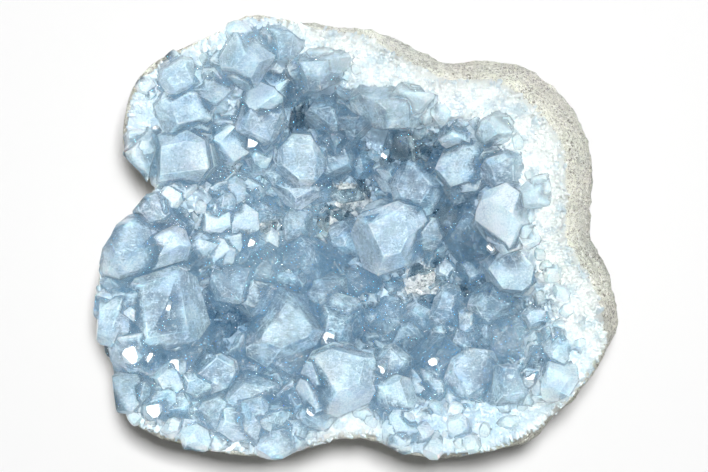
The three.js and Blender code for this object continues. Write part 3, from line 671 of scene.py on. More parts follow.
def growth_steps(rows, copies, seed):
    """Rows for smaller crystals grown parallel to each of the rows, off to its sides and a
    little lower, which leave steps on its faces."""
    rng = np.random.default_rng(seed)
    rows = np.repeat(rows, copies, axis=0)
    n = len(rows)
    tip, rotation = standing(rows)
    share = rng.uniform(0.45, 0.8, n)
    side = rng.uniform(-1, 1, (n, 2))
    side /= np.maximum(np.abs(side).max(axis=1, keepdims=True), 0.1)
    off = side * rows[:, [WIDTH, THICKNESS]] * (0.56 - 0.5 * share)[:, None]
    drop = rng.uniform(0.04, 0.2, n) * rows[:, WIDTH] + 0.3 * np.hypot(off[:, 0], off[:, 1])
    tip = tip + np.einsum("nij,nj->ni", rotation, np.column_stack([off, -drop]))
    made = rows.copy()
    made[:, [X, Y]] = tip[:, :2]
    made[:, STAND] = tip[:, 2] - crust_height(tip[:, 0], tip[:, 1])
    for size in (WIDTH, THICKNESS):
        made[:, size] *= share * rng.uniform(0.85, 1.2, n)
    made[:, LEAN] += rng.normal(0, 1.5, n)
    made[:, BLUNT] = rng.uniform(0, 0.8, n)
    made[:, CLOUDY] += rng.uniform(-0.15, 0.2, n)
    return made


def crystal_rows(spots, size, stand, lean, seed):
    """Rows for small crystals at the spots: along the crust's normal, leaned a random way and
    splayed out over the rim, and paler on the rim and by the drifts."""
    rng = np.random.default_rng(seed)
    n = len(spots)
    normal = crust_normal(spots[:, 0], spots[:, 1])
    normal[:, :2] += np.tan(math.radians(lean)) * rng.normal(0, 0.6, (n, 2))
    normal[:, :2] += splay(spots)
    normal[:, 2] = np.maximum(normal[:, 2], 0.25)
    normal /= np.linalg.norm(normal, axis=1, keepdims=True)
    width = size * np.clip(rng.lognormal(0, 0.3, n), 0.5, 1.3)
    thickness = width * rng.uniform(0.6, 1.0, n)
    out = stand * width / size
    tip = spots + normal[:, :2] * out[:, None]
    paler = 0.4 * rim_share(spots) + drift(spots)
    return np.stack([
        tip[:, 0], tip[:, 1],
        out * rng.uniform(0.3, 1.3, n), width, thickness, LENGTH_TO_WIDTH * width,
        np.degrees(np.arccos(normal[:, 2])), np.degrees(np.arctan2(normal[:, 1], normal[:, 0])),
        rng.uniform(0, 180, n), rng.uniform(0.1, 0.9, n),
        np.minimum(paler + rng.uniform(0.35, 0.75, n), 0.95),
    ], axis=1)


def shard_rows(seed):
    """Rows for thin clear blades that lie about over the sandy patches."""
    rng = np.random.default_rng(seed)
    patch = np.array(SANDY_PATCHES, float)[rng.integers(0, len(SANDY_PATCHES), SHARDS)]
    n = SHARDS
    way, far = rng.uniform(0, 2 * math.pi, n), patch[:, 2] * np.sqrt(rng.uniform(0, 1, n))
    width = rng.uniform(1.8, 5.5, n)
    return np.stack([
        patch[:, 0] + far * np.cos(way), patch[:, 1] + far * np.sin(way),
        rng.uniform(1.5, 5.0, n), width, width * rng.uniform(0.12, 0.3, n),
        width * rng.uniform(1.6, 2.6, n), rng.uniform(15, 75, n), rng.uniform(0, 360, n),
        rng.uniform(0, 180, n), rng.uniform(0, 0.4, n), rng.uniform(0.1, 0.75, n),
    ], axis=1)


def flash_rows():
    """Rows for small crystals cut off square, whose axes halve the angle between the ways to
    the camera and to the lamp, so that their ends mirror it."""
    x, y, stand, width, thickness, turn = FLASHES.T
    place = np.stack([x, y, crust_height(x, y) + stand], -1) * MM
    axis = 0
    for end in (EYE, GLINT_LAMP):
        way = np.array(end) - place
        axis = axis + way / np.linalg.norm(way, axis=1, keepdims=True)
    axis /= np.linalg.norm(axis, axis=1, keepdims=True)
    n = len(FLASHES)
    return np.stack([
        x, y, stand, width, thickness, np.full(n, FLASH_LENGTH),
        np.degrees(np.arccos(axis[:, 2])), np.degrees(np.arctan2(axis[:, 1], axis[:, 0])),
        turn, np.full(n, 1.0), np.full(n, FLASH_CLOUDINESS),
    ], axis=1)


def splay(spots):
    """How far crystals lean out over the edge where the crust covers the rim: 0.7 of the cover
    at 3 mm outside the rim's inner edge, falling to 0 at 6 mm inside it."""
    r, angle = polar(spots)
    at = around(angle)
    share = 0.7 * at.cover * smooth(r, at.lip - 6, at.lip + 3)
    return share[:, None] * np.stack([np.cos(angle), np.sin(angle)], -1)


def spread_spots(spacing, seed, inset):
    """Spots on a hexagonal grid, each moved by up to 0.4 of the spacing. Where rock is bare they
    stay inside the rim's inner edge by the inset, and where the crust covers the rim they go up
    to 3 mm past it."""
    rng = np.random.default_rng(seed)
    xs = np.arange(-80, 80, spacing)
    ys = np.arange(-70, 70, spacing * math.sqrt(3) / 2)
    x, y = np.meshgrid(xs, ys)
    x = x + (np.arange(len(ys)) % 2 * spacing / 2)[:, None]
    spots = np.stack([x.ravel(), y.ravel()], -1)
    spots += rng.uniform(-0.4, 0.4, spots.shape) * spacing
    r, angle = polar(spots)
    at = around(angle)
    return spots[r < at.lip + 3 * at.cover - inset * (1 - at.cover)]


def away_from_large(spots, share):
    """True for spots further from each large crystal's tip than that share of its width."""
    apart = spots[:, None, :] - LARGE_CRYSTALS[None, :, [X, Y]]
    far = np.hypot(apart[..., 0], apart[..., 1])
    return (far > share * LARGE_CRYSTALS[:, WIDTH]).all(axis=1)


def in_patch(points, patches):
    """How far inside a patch each point is: 1 in the middle of one, 0 outside all of them."""
    share = np.zeros(len(points))
    for x, y, radius in patches:
        share = np.maximum(share, 1 - far_from(points, x, y) / radius)
    return np.clip(share, 0, 1)


def drift(points):
    """How much milkier the crystals are at each place: the sum of the drifts, each whole up to
    0.3 of its radius and falling from there to nothing at its radius as a smooth step."""
    total = np.zeros(len(points))
    for x, y, radius, amount in DRIFTS:
        total = total + amount * smooth(far_from(points, x, y), radius, 0.3 * radius)
    return np.clip(total, -0.8, 0.85)


def rim_share(points):
    """0 over the hollow and 1 on the massive band at the rim, or a quarter of that where the
    crust covers the rim."""
    r, angle = polar(points)
    at = around(angle)
    band = smooth(r, at.lip - 15 + 8 * at.cover, at.lip - 5 + 8 * at.cover)
    return band * (1 - 0.75 * at.cover)


def crevice_shade(points):
    """How deep each point lies between the large crystals, from 0 to 1; the finishes paint shade
    there by it. Round each crystal a skirt falls 2 mm for each mm out from 0.4 of its width;
    the measure is how far the point lies under the highest skirt, less 3 mm, over 12 mm."""
    tips = standing(LARGE_CRYSTALS)[0]
    under = np.zeros(len(points))
    for tip, width in zip(tips, LARGE_CRYSTALS[:, WIDTH]):
        far = far_from(points, tip[0], tip[1]) - 0.4 * width
        under = np.maximum(under, tip[2] - 2 * np.maximum(far, 0) - points[:, 2])
    return np.clip((under - 3) / 12, 0, 1)


def worn_mesh(name, points, corners, counts, bevel):
    """One crystal's mesh with its edges worn back by the bevel's width. The attribute edge is 1
    on the worn faces and 0 on the others, and core is 1 in the middle of a face and falls to 0
    at its edges."""
    mesh = mesh_from_arrays(name, points, corners, counts)
    core = np.zeros(len(points), np.float32)
    if bevel > 0:
        shape = bmesh.new()
        shape.from_mesh(mesh)
        bmesh.ops.bevel(shape, geom=shape.edges[:], offset=bevel * MM, segments=1,
                        profile=0.5, affect="EDGES", clamp_overlap=True, material=1)
        worn = len(shape.verts)
        bmesh.ops.poke(shape, faces=[face for face in shape.faces if face.material_index == 0])
        core = (np.arange(len(shape.verts)) >= worn).astype(np.float32)
        shape.to_mesh(mesh)
        shape.free()
    add_value(mesh, "core", core, "POINT")
    marks = np.zeros(len(mesh.polygons), np.int32)
    mesh.polygons.foreach_get("material_index", marks)
    add_value(mesh, "edge", np.minimum(marks, 1), "FACE")
    mesh.polygons.foreach_set("material_index", np.zeros_like(marks))
    return mesh


def crystal_group(rows, bevel, start_index):
    """Each row's crystal as a mesh of its own, with how cloudy each point is, a tone for each
    face, and whether the crystal is cut off flat."""
    index = np.arange(len(rows)) + start_index
    points, solid, corners, counts, owner = cut_solids(*crystal_planes(rows, index))
    points = stand_up(points, solid, rows)
    ends = np.arange(len(rows) + 1)
    first_point, first_face = np.searchsorted(solid, ends), np.searchsorted(owner, ends)
    first_corner = np.concatenate([[0], np.cumsum(counts)])[first_face]
    tips, rotation = standing(rows)
    meshes = []
    for i, row in enumerate(rows):
        p = points[first_point[i]:first_point[i + 1]]
        c = corners[first_corner[i]:first_corner[i + 1]] - first_point[i]
        mesh = worn_mesh(f"crystal_{i}", p, c, counts[first_face[i]:first_face[i + 1]], bevel)
        below = (tips[i] - points_of(mesh)) @ rotation[i, :, 2]
        # clearer and deeper blue towards the root: partly the glass's own colour, partly painted
        # shade where the roots sit deep between crystals
        deeper = 0.22 * smooth(below / row[WIDTH], 0.6, 1.3)
        add_value(mesh, "cloudy", row[CLOUDY] - deeper, "POINT")
        facing = np.zeros(3 * len(mesh.polygons), np.float32)
        mesh.polygons.foreach_get("normal", facing)
        turned = facing.reshape(-1, 3) @ (17.0, 11.0, 7.0)
        add_value(mesh, "tone", 0.5 + 0.5 * np.sin(turned + index[i]), "FACE")
        add_value(mesh, "flat", np.full(len(mesh.vertices), float(row[BLUNT] == 1)), "POINT")
        meshes.append(mesh)
    return meshes


def outside_cutter():
    """The space that crystals don't grow into, as a closed skin: everything under the rim and
    outside the hollow, and a wall up from the rim, which stands on the rock's inner edge where
    rock is bare and just outside the outline where the crust covers the rim."""
    angle = angles_round(CUTTER_ANGLES)
    at = around(angle)
    wall = at.lip - 0.5 + (at.reach + 0.8 - at.lip) * smooth(at.cover, 0.2, 0.9)
    wall = wall + 1.3 * grain(ring_points(angle, RIM_WALK, 0 * angle), 2.2, 41)
    beyond, bottom, top = at.reach + 30, 0 * angle + 2, 0 * angle + 95
    edge = np.minimum(at.lip, wall) - 0.3
    r_in, z_in = inside_profile(at, CUTTER_STEPS, outward=0.5, back=0.3, under=2)
    r = np.concatenate([beyond, beyond, wall, wall, edge, r_in], axis=1)
    z = np.concatenate([bottom, top, top, at.rim + 0.3, at.rim - 0.9, z_in], axis=1)
    floor = bpy.context.scene.geode_sizes.rind_floor
    return skin_mesh("cutter", ring_points(angle, r, z), (0, 0, -5), (0, 0, floor))


def applied(parts):
    """The mesh that the first part's modifiers make. The parts and their meshes are removed."""
    graph = bpy.context.evaluated_depsgraph_get()
    made = bpy.data.meshes.new_from_object(parts[0].evaluated_get(graph))
    old = [part.data for part in parts]
    for part in parts:
        bpy.data.objects.remove(part)
    for mesh in old:
        bpy.data.meshes.remove(mesh)
    return made


def cut_away(mesh, cutter):
    """The mesh less the cutter's solid."""
    parts = [bpy.data.objects.new(m.name, m) for m in (mesh, cutter)]
    for part in parts:
        bpy.context.scene.collection.objects.link(part)
    cut = parts[0].modifiers.new("cut", "BOOLEAN")
    cut.operation, cut.solver, cut.object = "DIFFERENCE", "MANIFOLD", parts[1]
    return applied(parts)


def joined(meshes):
    """The meshes joined into one solid, each grown through the others where they meet."""
    holder = bpy.data.collections.new("crystals")
    bpy.context.scene.collection.children.link(holder)
    parts = [bpy.data.objects.new(m.name, m) for m in meshes]
    for part in parts[1:]:
        holder.objects.link(part)
    bpy.context.scene.collection.objects.link(parts[0])
    join = parts[0].modifiers.new("join", "BOOLEAN")
    join.operation, join.solver, join.operand_type = "UNION", "MANIFOLD", "COLLECTION"
    join.collection = holder
    made = applied(parts)
    bpy.data.collections.remove(holder)
    return made


# ---- materials -----------------------------------------------------------------------------
MIX_INPUTS, MIX_OUTPUT = (0, 6, 7), 2  # a Mix node's colour sockets, whose names aren't unique


class Finish:
    """A material's nodes, with short ways to add and join them."""

    def __init__(self, name):
        self.material = bpy.data.materials.new(name)
        self.material.use_nodes = True
        self.tree = self.material.node_tree
        self.shader = self.tree.nodes["Principled BSDF"]
        self.place = self.add("ShaderNodeTexCoord").outputs["Object"]

    def add(self, kind, **settings):
        node = self.tree.nodes.new(kind)
        for key, value in settings.items():
            setattr(node, key, value)
        return node

    def join(self, source, target):
        self.tree.links.new(source, target)

    def noise(self, per_mm, detail=3.0, rough=0.55, stretch=None):
        """Noise with so many features for each millimetre."""
        node = self.add("ShaderNodeTexNoise")
        node.inputs["Scale"].default_value = per_mm / MM
        node.inputs["Detail"].default_value = detail
        node.inputs["Roughness"].default_value = rough
        source = self.place
        if stretch:
            mapping = self.add("ShaderNodeMapping")
            mapping.inputs["Rotation"].default_value = stretch[0]
            mapping.inputs["Scale"].default_value = stretch[1]
            self.join(self.place, mapping.inputs["Vector"])
            source = mapping.outputs["Vector"]
        self.join(source, node.inputs["Vector"])
        return node.outputs["Fac"]

    def cracks(self, per_mm, width):
        """Thin walls between cells with so many for each millimetre: 1 on the wall, 0 beside.
        Noise bends them."""
        node = self.add("ShaderNodeTexVoronoi", feature="DISTANCE_TO_EDGE")
        node.inputs["Scale"].default_value = per_mm / MM
        bend = self.add("ShaderNodeTexNoise")
        bend.inputs["Scale"].default_value = 1.3 * per_mm / MM
        bend.inputs["Detail"].default_value = 4.0
        self.join(self.place, bend.inputs["Vector"])
        moved = self.add("ShaderNodeVectorMath", operation="MULTIPLY_ADD")
        moved.inputs[1].default_value = [1.2 * MM / per_mm] * 3
        self.join(bend.outputs["Color"], moved.inputs[0])
        self.join(self.place, moved.inputs[2])
        self.join(moved.outputs["Vector"], node.inputs["Vector"])
        return self.band(node.outputs["Distance"], 0.0, width, 1.0, 0.0)

    def band(self, value, low, high, out_low=0.0, out_high=1.0):
        """Maps a value from one range to another, smoothly and held at both ends."""
        node = self.add("ShaderNodeMapRange", interpolation_type="SMOOTHSTEP")
        self.join(value, node.inputs["Value"])
        for socket, number in (("From Min", low), ("From Max", high), ("To Min", out_low),
                               ("To Max", out_high)):
            node.inputs[socket].default_value = number
        return node.outputs["Result"]

    def math(self, operation, a, b):
        node = self.add("ShaderNodeMath", operation=operation)
        for socket, value in zip(node.inputs, (a, b)):
            if isinstance(value, (int, float)):
                socket.default_value = value
            else:
                self.join(value, socket)
        return node.outputs["Value"]

    def times(self, a, b):
        return self.math("MULTIPLY", a, b)

    def plus(self, a, b):
        return self.math("ADD", a, b)

    def most(self, a, b):
        return self.math("MAXIMUM", a, b)

    def mix(self, share, a, b):
        """One colour turning into another as the share goes from 0 to 1."""
        node = self.add("ShaderNodeMix", data_type="RGBA")
        for number, value in zip(MIX_INPUTS, (share, a, b)):
            if isinstance(value, bpy.types.NodeSocket):
                self.join(value, node.inputs[number])
            else:
                node.inputs[number].default_value = (*value, 1.0)
        return node.outputs[MIX_OUTPUT]

    def tint(self, colour, share, amount, towards):
        """The colour moved towards another by the share times the amount."""
        return self.mix(self.times(share, amount), colour, towards)

    def value_of(self, name):
        node = self.add("ShaderNodeAttribute", attribute_name=name)
        return node.outputs["Fac"]

    def bump(self, height, distance_mm, strength=1.0):
        node = self.add("ShaderNodeBump")
        node.inputs["Strength"].default_value = strength
        node.inputs["Distance"].default_value = distance_mm * MM
        self.join(height, node.inputs["Height"])
        self.join(node.outputs["Normal"], self.shader.inputs["Normal"])


def rock_finish():
    """Sandy rock: pale grains with dark and brown ones between, in drifts, and white celestite
    among them towards the rim."""
    colours = bpy.context.scene.geode_colours
    rock, dark = tuple(colours.rock), tuple(colours.rock_dark)
    f = Finish("sandy_rock")
    pale = tuple(min(1.0, 1.45 * c) for c in rock)
    colour = f.mix(f.band(f.noise(0.09, 4.0), 0.35, 0.65), rock, pale)
    brown = f.band(f.noise(0.2, 3.0), 0.56, 0.72)
    colour = f.tint(colour, brown, 0.4, (0.47, 0.46, 0.33))
    grains = f.band(f.noise(1.2, 6.0, 0.9), 0.46, 0.55)
    patches = f.band(f.noise(0.13, 4.0), 0.38, 0.60, 0.45, 1.0)
    colour = f.tint(colour, grains, patches, tuple(0.22 * c for c in rock))
    chips = f.band(f.noise(0.9, 4.0, 0.8), 0.51, 0.59)
    colour = f.tint(colour, chips, 0.9, (0.90, 0.91, 0.85))
    specks = f.band(f.noise(1.0, 2.0, 0.6), 0.61, 0.67)
    colour = f.tint(colour, specks, 0.9, dark)
    peppered = f.band(f.noise(2.2, 2.0, 0.6), 0.55, 0.66)
    colour = f.tint(colour, peppered, 0.75, dark)
    salted = f.band(f.noise(1.9, 2.0, 0.6), 0.56, 0.66)
    colour = f.tint(colour, salted, 0.7, (0.82, 0.82, 0.78))
    snow = f.plus(f.times(f.value_of("rim"), 0.9), f.noise(0.35, 6.0, 0.8))
    colour = f.mix(f.band(snow, 0.86, 1.04), colour, tuple(colours.massive))
    dirt = f.band(f.noise(1.6, 3.0, 0.7), 0.56, 0.64)
    colour = f.tint(colour, dirt, 0.5, rock)
    f.join(colour, f.shader.inputs["Base Color"])
    f.shader.inputs["Roughness"].default_value = 0.92
    f.bump(f.noise(0.9, 8.0, 0.85), 1.3, 1.0)
    return f.material


def massive_finish():
    """Massive celestite: milky white with pale blue drifts, bluer in the hollow and darker there
    as painted shade, with painted shade between the large crystals, and sand where the rock shows
    through."""
    colours = bpy.context.scene.geode_colours
    f = Finish("massive_celestite")
    drifts = f.band(f.noise(0.22, 5.0, 0.7), 0.46, 0.60)
    colour = f.tint(tuple(colours.massive), drifts, 0.8, PALE_BLUE)
    # bluer in the hollow, its own colour, and darker there: painted shade from the crystals above,
    # which cast none
    colour = f.mix(f.value_of("hollow"), colour, (0.34, 0.47, 0.56))
    rock = f.mix(f.band(f.noise(0.9, 5.0, 0.85), 0.49, 0.57), (0.50, 0.53, 0.50),
                 (0.09, 0.10, 0.10))
    rock = f.mix(f.band(f.noise(0.5, 5.0, 0.85), 0.52, 0.60), rock, (0.74, 0.76, 0.73))
    sand = f.plus(f.value_of("sand"), f.noise(0.5, 3.0))
    colour = f.mix(f.band(sand, 0.70, 0.85), colour, rock)
    # painted shade: darker and bluer between the large crystals
    colour = f.tint(colour, f.value_of("crevice_shade"), 0.4, (0.06, 0.15, 0.25))
    f.join(colour, f.shader.inputs["Base Color"])
    f.join(f.band(f.noise(0.8, 3.0), 0.3, 0.7, 0.25, 0.6), f.shader.inputs["Roughness"])
    f.shader.inputs["IOR"].default_value = CELESTITE_IOR
    f.bump(f.noise(1.5, 5.0, 0.7), 0.4, 0.7)
    return f.material


def sugar_finish():
    """Tiny crystals: white on the rim, pale blue in the hollow, each face a little different, and
    painted shade between the large crystals.
    """
    colours = bpy.context.scene.geode_colours
    f = Finish("sugary_celestite")
    blue = f.mix(f.value_of("cloudy"), tuple(colours.depth), tuple(colours.milk))
    drifts = f.band(f.noise(0.22, 5.0, 0.7), 0.46, 0.60)
    white = f.tint(tuple(colours.massive), drifts, 0.8, PALE_BLUE)
    blue = f.tint(blue, drifts, 0.7, (0.25, 0.40, 0.50))
    colour = f.mix(f.value_of("rim"), blue, white)
    colour = f.tint(colour, f.value_of("tone"), 0.16, (0.68, 0.78, 0.82))
    # painted shade: darker and bluer between the large crystals
    colour = f.tint(colour, f.value_of("crevice_shade"), 0.35, (0.07, 0.16, 0.27))
    f.join(colour, f.shader.inputs["Base Color"])
    f.join(f.band(f.value_of("rim"), 0.2, 0.8, 0.18, 0.5), f.shader.inputs["Roughness"])
    f.shader.inputs["IOR"].default_value = CELESTITE_IOR
    return f.material


def crystal_finish():
    """Celestite: clear glass that deepens to blue inside, with clouds, veils, healed cracks and
    specks of white, faint growth steps, frosted edges, and each crystal and face a little
    paler or deeper than the next. Painted light too: each face lighter at its edges than in its
    middle, and painted shade between the large crystals."""
    colours = bpy.context.scene.geode_colours
    f = Finish("celestite_crystal")
    cloudy, rim, edge = f.value_of("cloudy"), f.value_of("rim"), f.value_of("edge")
    cloud = f.band(f.noise(0.15, 5.0, 0.65), 0.40, 0.66)
    veil = f.band(f.noise(0.4, 4.0, 0.65, ((0.6, 0.9, 0.3), (1.0, 1.0, 4.0))), 0.56, 0.70)
    scratch = f.band(f.noise(0.5, 3.0, 0.6, ((0.9, 0.2, 1.3), (1.0, 6.0, 1.0))), 0.60, 0.68)
    healed = f.times(f.cracks(0.14, 0.03), f.band(f.noise(0.1, 2.0), 0.4, 0.55))
    specks = f.band(f.noise(1.0, 5.0, 0.85), 0.58, 0.66)
    body = f.plus(f.times(cloudy, 0.7), f.times(cloud, 0.3))
    body = f.plus(body, f.times(f.value_of("tone"), 0.1))
    white = f.plus(f.times(veil, 0.45), f.times(scratch, 0.4))
    white = f.most(white, f.times(healed, 0.3))
    white = f.most(white, f.times(specks, 0.55))
    worn = f.times(edge, f.band(f.noise(0.25, 3.0), 0.46, 0.66, 0.0, 0.4))
    white = f.most(white, worn)
    white = f.most(white, f.times(rim, 0.35))
    white = f.most(white, f.band(cloudy, 0.7, 1.3, 0.0, 0.5))
    colour = f.mix(f.band(body, 0.05, 0.95), tuple(colours.depth), tuple(colours.milk))
    flaws = f.times(f.cracks(0.3, 0.05), f.band(f.noise(0.2, 3.0), 0.48, 0.58))
    colour = f.tint(colour, flaws, 0.7, (0.10, 0.17, 0.22))
    blue = f.band(f.noise(0.3, 5.0, 0.75), 0.50, 0.60)
    colour = f.tint(colour, blue, 0.4, (0.24, 0.39, 0.52))
    green = f.band(f.noise(0.035, 2.0), 0.50, 0.64, 0.0, 0.3)
    colour = f.mix(green, colour, (0.36, 0.49, 0.51))
    # painted edge light: the middle of each face is tinted deeper blue so its edges read lighter,
    # as refraction lights them; partly also the deeper blue of thicker glass
    clear = f.band(f.value_of("core"), 0.05, 0.6)
    colour = f.tint(colour, clear, 0.25, (0.24, 0.41, 0.57))
    dark = f.times(f.band(f.noise(1.1, 5.0, 0.85), 0.57, 0.65),
                   f.band(f.noise(0.12, 3.0), 0.42, 0.58))
    colour = f.tint(colour, dark, 0.55, (0.09, 0.15, 0.19))
    fine = f.noise(1.6, 4.0, 0.8)
    colour = f.mix(f.band(fine, 0.50, 0.62, 0.0, 0.3), colour, (0.13, 0.24, 0.33))
    colour = f.mix(f.band(fine, 0.38, 0.50, 0.3, 0.0), colour, (0.80, 0.86, 0.88))
    colour = f.mix(white, colour, (0.72, 0.80, 0.82))
    # painted shade: darker and bluer between the large crystals
    colour = f.tint(colour, f.value_of("crevice_shade"), 0.4, (0.05, 0.14, 0.23))
    f.join(colour, f.shader.inputs["Base Color"])
    milky = f.plus(body, f.times(white, 0.6))
    f.join(f.band(milky, 0.1, 0.9, 0.92, 0.3), f.shader.inputs["Transmission Weight"])
    plain = f.band(f.value_of("flat"), 0.4, 0.6, 1.0, 0.0)
    frost = f.times(f.band(f.noise(0.35, 3.0), 0.45, 0.7, 0.01, 0.14), plain)
    f.join(frost, f.shader.inputs["Roughness"])
    f.shader.inputs["IOR"].default_value = CELESTITE_IOR
    f.shader.inputs["Subsurface Weight"].default_value = 1.0
    f.shader.inputs["Subsurface Radius"].default_value = (0.5, 0.8, 1.0)
    f.shader.inputs["Subsurface Scale"].default_value = 4.0 * MM
    steps = f.noise(0.7, 4.0, 0.6, ((0.2, 0.5, 1.1), (1.0, 5.0, 1.0)))
    waves = f.times(f.noise(0.14, 2.0), 5.0)
    f.bump(f.times(f.plus(steps, waves), plain), 0.25, 0.6)
    inside = f.add("ShaderNodeVolumeAbsorption")
    inside.inputs["Color"].default_value = (*colours.absorbed, 1.0)
    inside.inputs["Density"].default_value = colours.density
    f.join(inside.outputs["Volume"], f.tree.nodes["Material Output"].inputs["Volume"])
    return f.material


# ---- operators -----------------------------------------------------------------------------
class GEODE_OT_make_rock(bpy.types.Operator):
    """Make the lumpy shell of sandy rock"""

    bl_idname = "geode.make_rock"
    bl_label = "Make Rock"

    def execute(self, context):
        rings = rough_rock(rock_rings())
        floor = context.scene.geode_sizes.rind_floor
        mesh = skin_mesh("Rock_Rind", rings, (0, 0, 0), (0, 0, floor))
        points = rings.reshape(-1, 3)
        r, angle = polar(points)
        at = around(angle)
        inward = smooth(r, at.lip + 8, at.lip + 2)
        inward *= smooth(points[:, 2], at.rim - 14, at.rim - 3) * (1 - 0.55 * at.cover)
        add_value(mesh, "rim", np.append(inward, [0, 0]), "POINT")
        placed("Rock_Rind", mesh, rock_finish(), "rind", True)
        return {"FINISHED"}


class GEODE_OT_make_massive(bpy.types.Operator):
    """Make the massive white celestite that lines the rock"""

    bl_idname = "geode.make_massive"
    bl_label = "Make Massive Crust"

    def execute(self, context):
        angle = angles_round(CRUST_ANGLES)
        at = around(angle)
        rim_line = ring_points(angle, RIM_WALK, 0 * angle)
        ragged = grain(rim_line, 1.6, 8) + 1.1 * grain(rim_line, 5, 9)
        edge = at.lip + 2.3 + 0.4 * at.cover + ragged * (1 - 0.6 * at.cover)
        share = 1 - 0.98 * np.linspace(0, 1, CRUST_RINGS)[None, :] ** 1.8
        r = (edge - 0.5) * share
        x, y = r * np.cos(angle), r * np.sin(angle)
        z = crust_height(x, y) + self.sugar(x, y) * smooth(share, 0.0, 0.1)
        # three rings under the edge, where the crust sits in the rock
        r = np.concatenate([0.9 * at.lip - 6, at.lip - 1.0, edge, r], axis=1)
        seat = [at.rim * 0.5, at.rim - 4.0, at.rim - 2.4 + 2.0 * at.cover]
        rings = ring_points(angle, r, np.concatenate([*seat, z], axis=1))
        low = (0, 0, context.scene.geode_sizes.rind_floor + 1)
        middle = (0, 0, float(crust_height(np.array(0.0), np.array(0.01))))
        mesh = skin_mesh("Massive_Crust", rings, low, middle)
        points = np.concatenate([rings.reshape(-1, 3), [low, middle]])
        add_value(mesh, "sand", in_patch(points, SANDY_PATCHES), "POINT")
        add_value(mesh, "crevice_shade", crevice_shade(points), "POINT")
        add_value(mesh, "hollow", 1 - rim_share(points), "POINT")
        placed("Massive_Crust", mesh, massive_finish(), "crystal_crust", False)
        return {"FINISHED"}

    def sugar(self, x, y):
        """Small blunt pyramids: the highest of those that stand on jittered grid points, each
        turned its own way and falling 0.7 mm for each mm out, and soft grain."""
        size = 1.9
        base = np.stack([np.floor(x / size), np.floor(y / size), 0 * x], -1)
        height = np.full(x.shape, -9.0)
        for dx, dy in itertools.product((-1, 0, 1), repeat=2):
            cell = base + (dx, dy, 0)
            px = (cell[..., 0] + 0.5 + 0.45 * lattice(cell, 21)) * size
            py = (cell[..., 1] + 0.5 + 0.45 * lattice(cell, 22)) * size
            spin = math.pi * lattice(cell, 23)
            u = (x - px) * np.cos(spin) + (y - py) * np.sin(spin)
            v = (y - py) * np.cos(spin) - (x - px) * np.sin(spin)
            top = 0.55 * lattice(cell, 24)
            height = np.maximum(height, top - 0.7 * np.maximum(np.abs(u), 1.3 * np.abs(v)))
        return height + 0.5 * grain(np.stack([x, y, 0 * x], -1), 3.1, 25)


class GEODE_OT_make_crystals(bpy.types.Operator):
    """Grow the large and the small crystals and join them into one crust"""

    bl_idname = "geode.make_crystals"
    bl_label = "Make Crystals"

    def execute(self, context):
        sizes = context.scene.geode_sizes
        meshes = crystal_group(LARGE_CRYSTALS, sizes.bevel, start_index=0)
        steps = growth_steps(LARGE_CRYSTALS, copies=3, seed=3)
        meshes += crystal_group(steps, sizes.bevel, start_index=2000)
        spots = spread_spots(7.5, seed=5, inset=11.0)
        spots = spots[(in_patch(spots, SANDY_PATCHES) == 0) & away_from_large(spots, 0.36)
                      & (in_patch(spots, SUGARY_PATCHES) == 0) & (rim_share(spots) < 0.4)]
        rows = crystal_rows(spots, size=10.8, stand=8.0, lean=16, seed=6)
        meshes += crystal_group(rows, 0.7 * sizes.bevel, start_index=200)
        spots = spread_spots(sizes.small_spacing, seed=7, inset=5.0)
        # in the sugary patches about half of the spots are left out
        kept = (in_patch(spots, SUGARY_PATCHES) == 0) | (wobble(np.arange(len(spots)), 6) > 0)
        kept &= (in_patch(spots, SANDY_PATCHES) < 0.3) & away_from_large(spots, 0.34)
        rows = crystal_rows(spots[kept], size=5.3, stand=3.4, lean=24, seed=8)
        meshes += crystal_group(rows, 0, start_index=900)
        meshes += crystal_group(shard_rows(seed=9), 0, start_index=4000)
        meshes += crystal_group(flash_rows(), 0, start_index=5000)
        mesh = cut_away(joined(meshes), outside_cutter())
        mesh.name = "Celestite_Crystals"
        points = points_of(mesh)
        add_value(mesh, "rim", rim_share(points), "POINT")
        add_value(mesh, "crevice_shade", crevice_shade(points), "POINT")
        crystals = placed("Celestite_Crystals", mesh, crystal_finish(), "crystal_crust", False)
        crystals.visible_shadow = False  # clear crystals let the light down between them
        return {"FINISHED"}


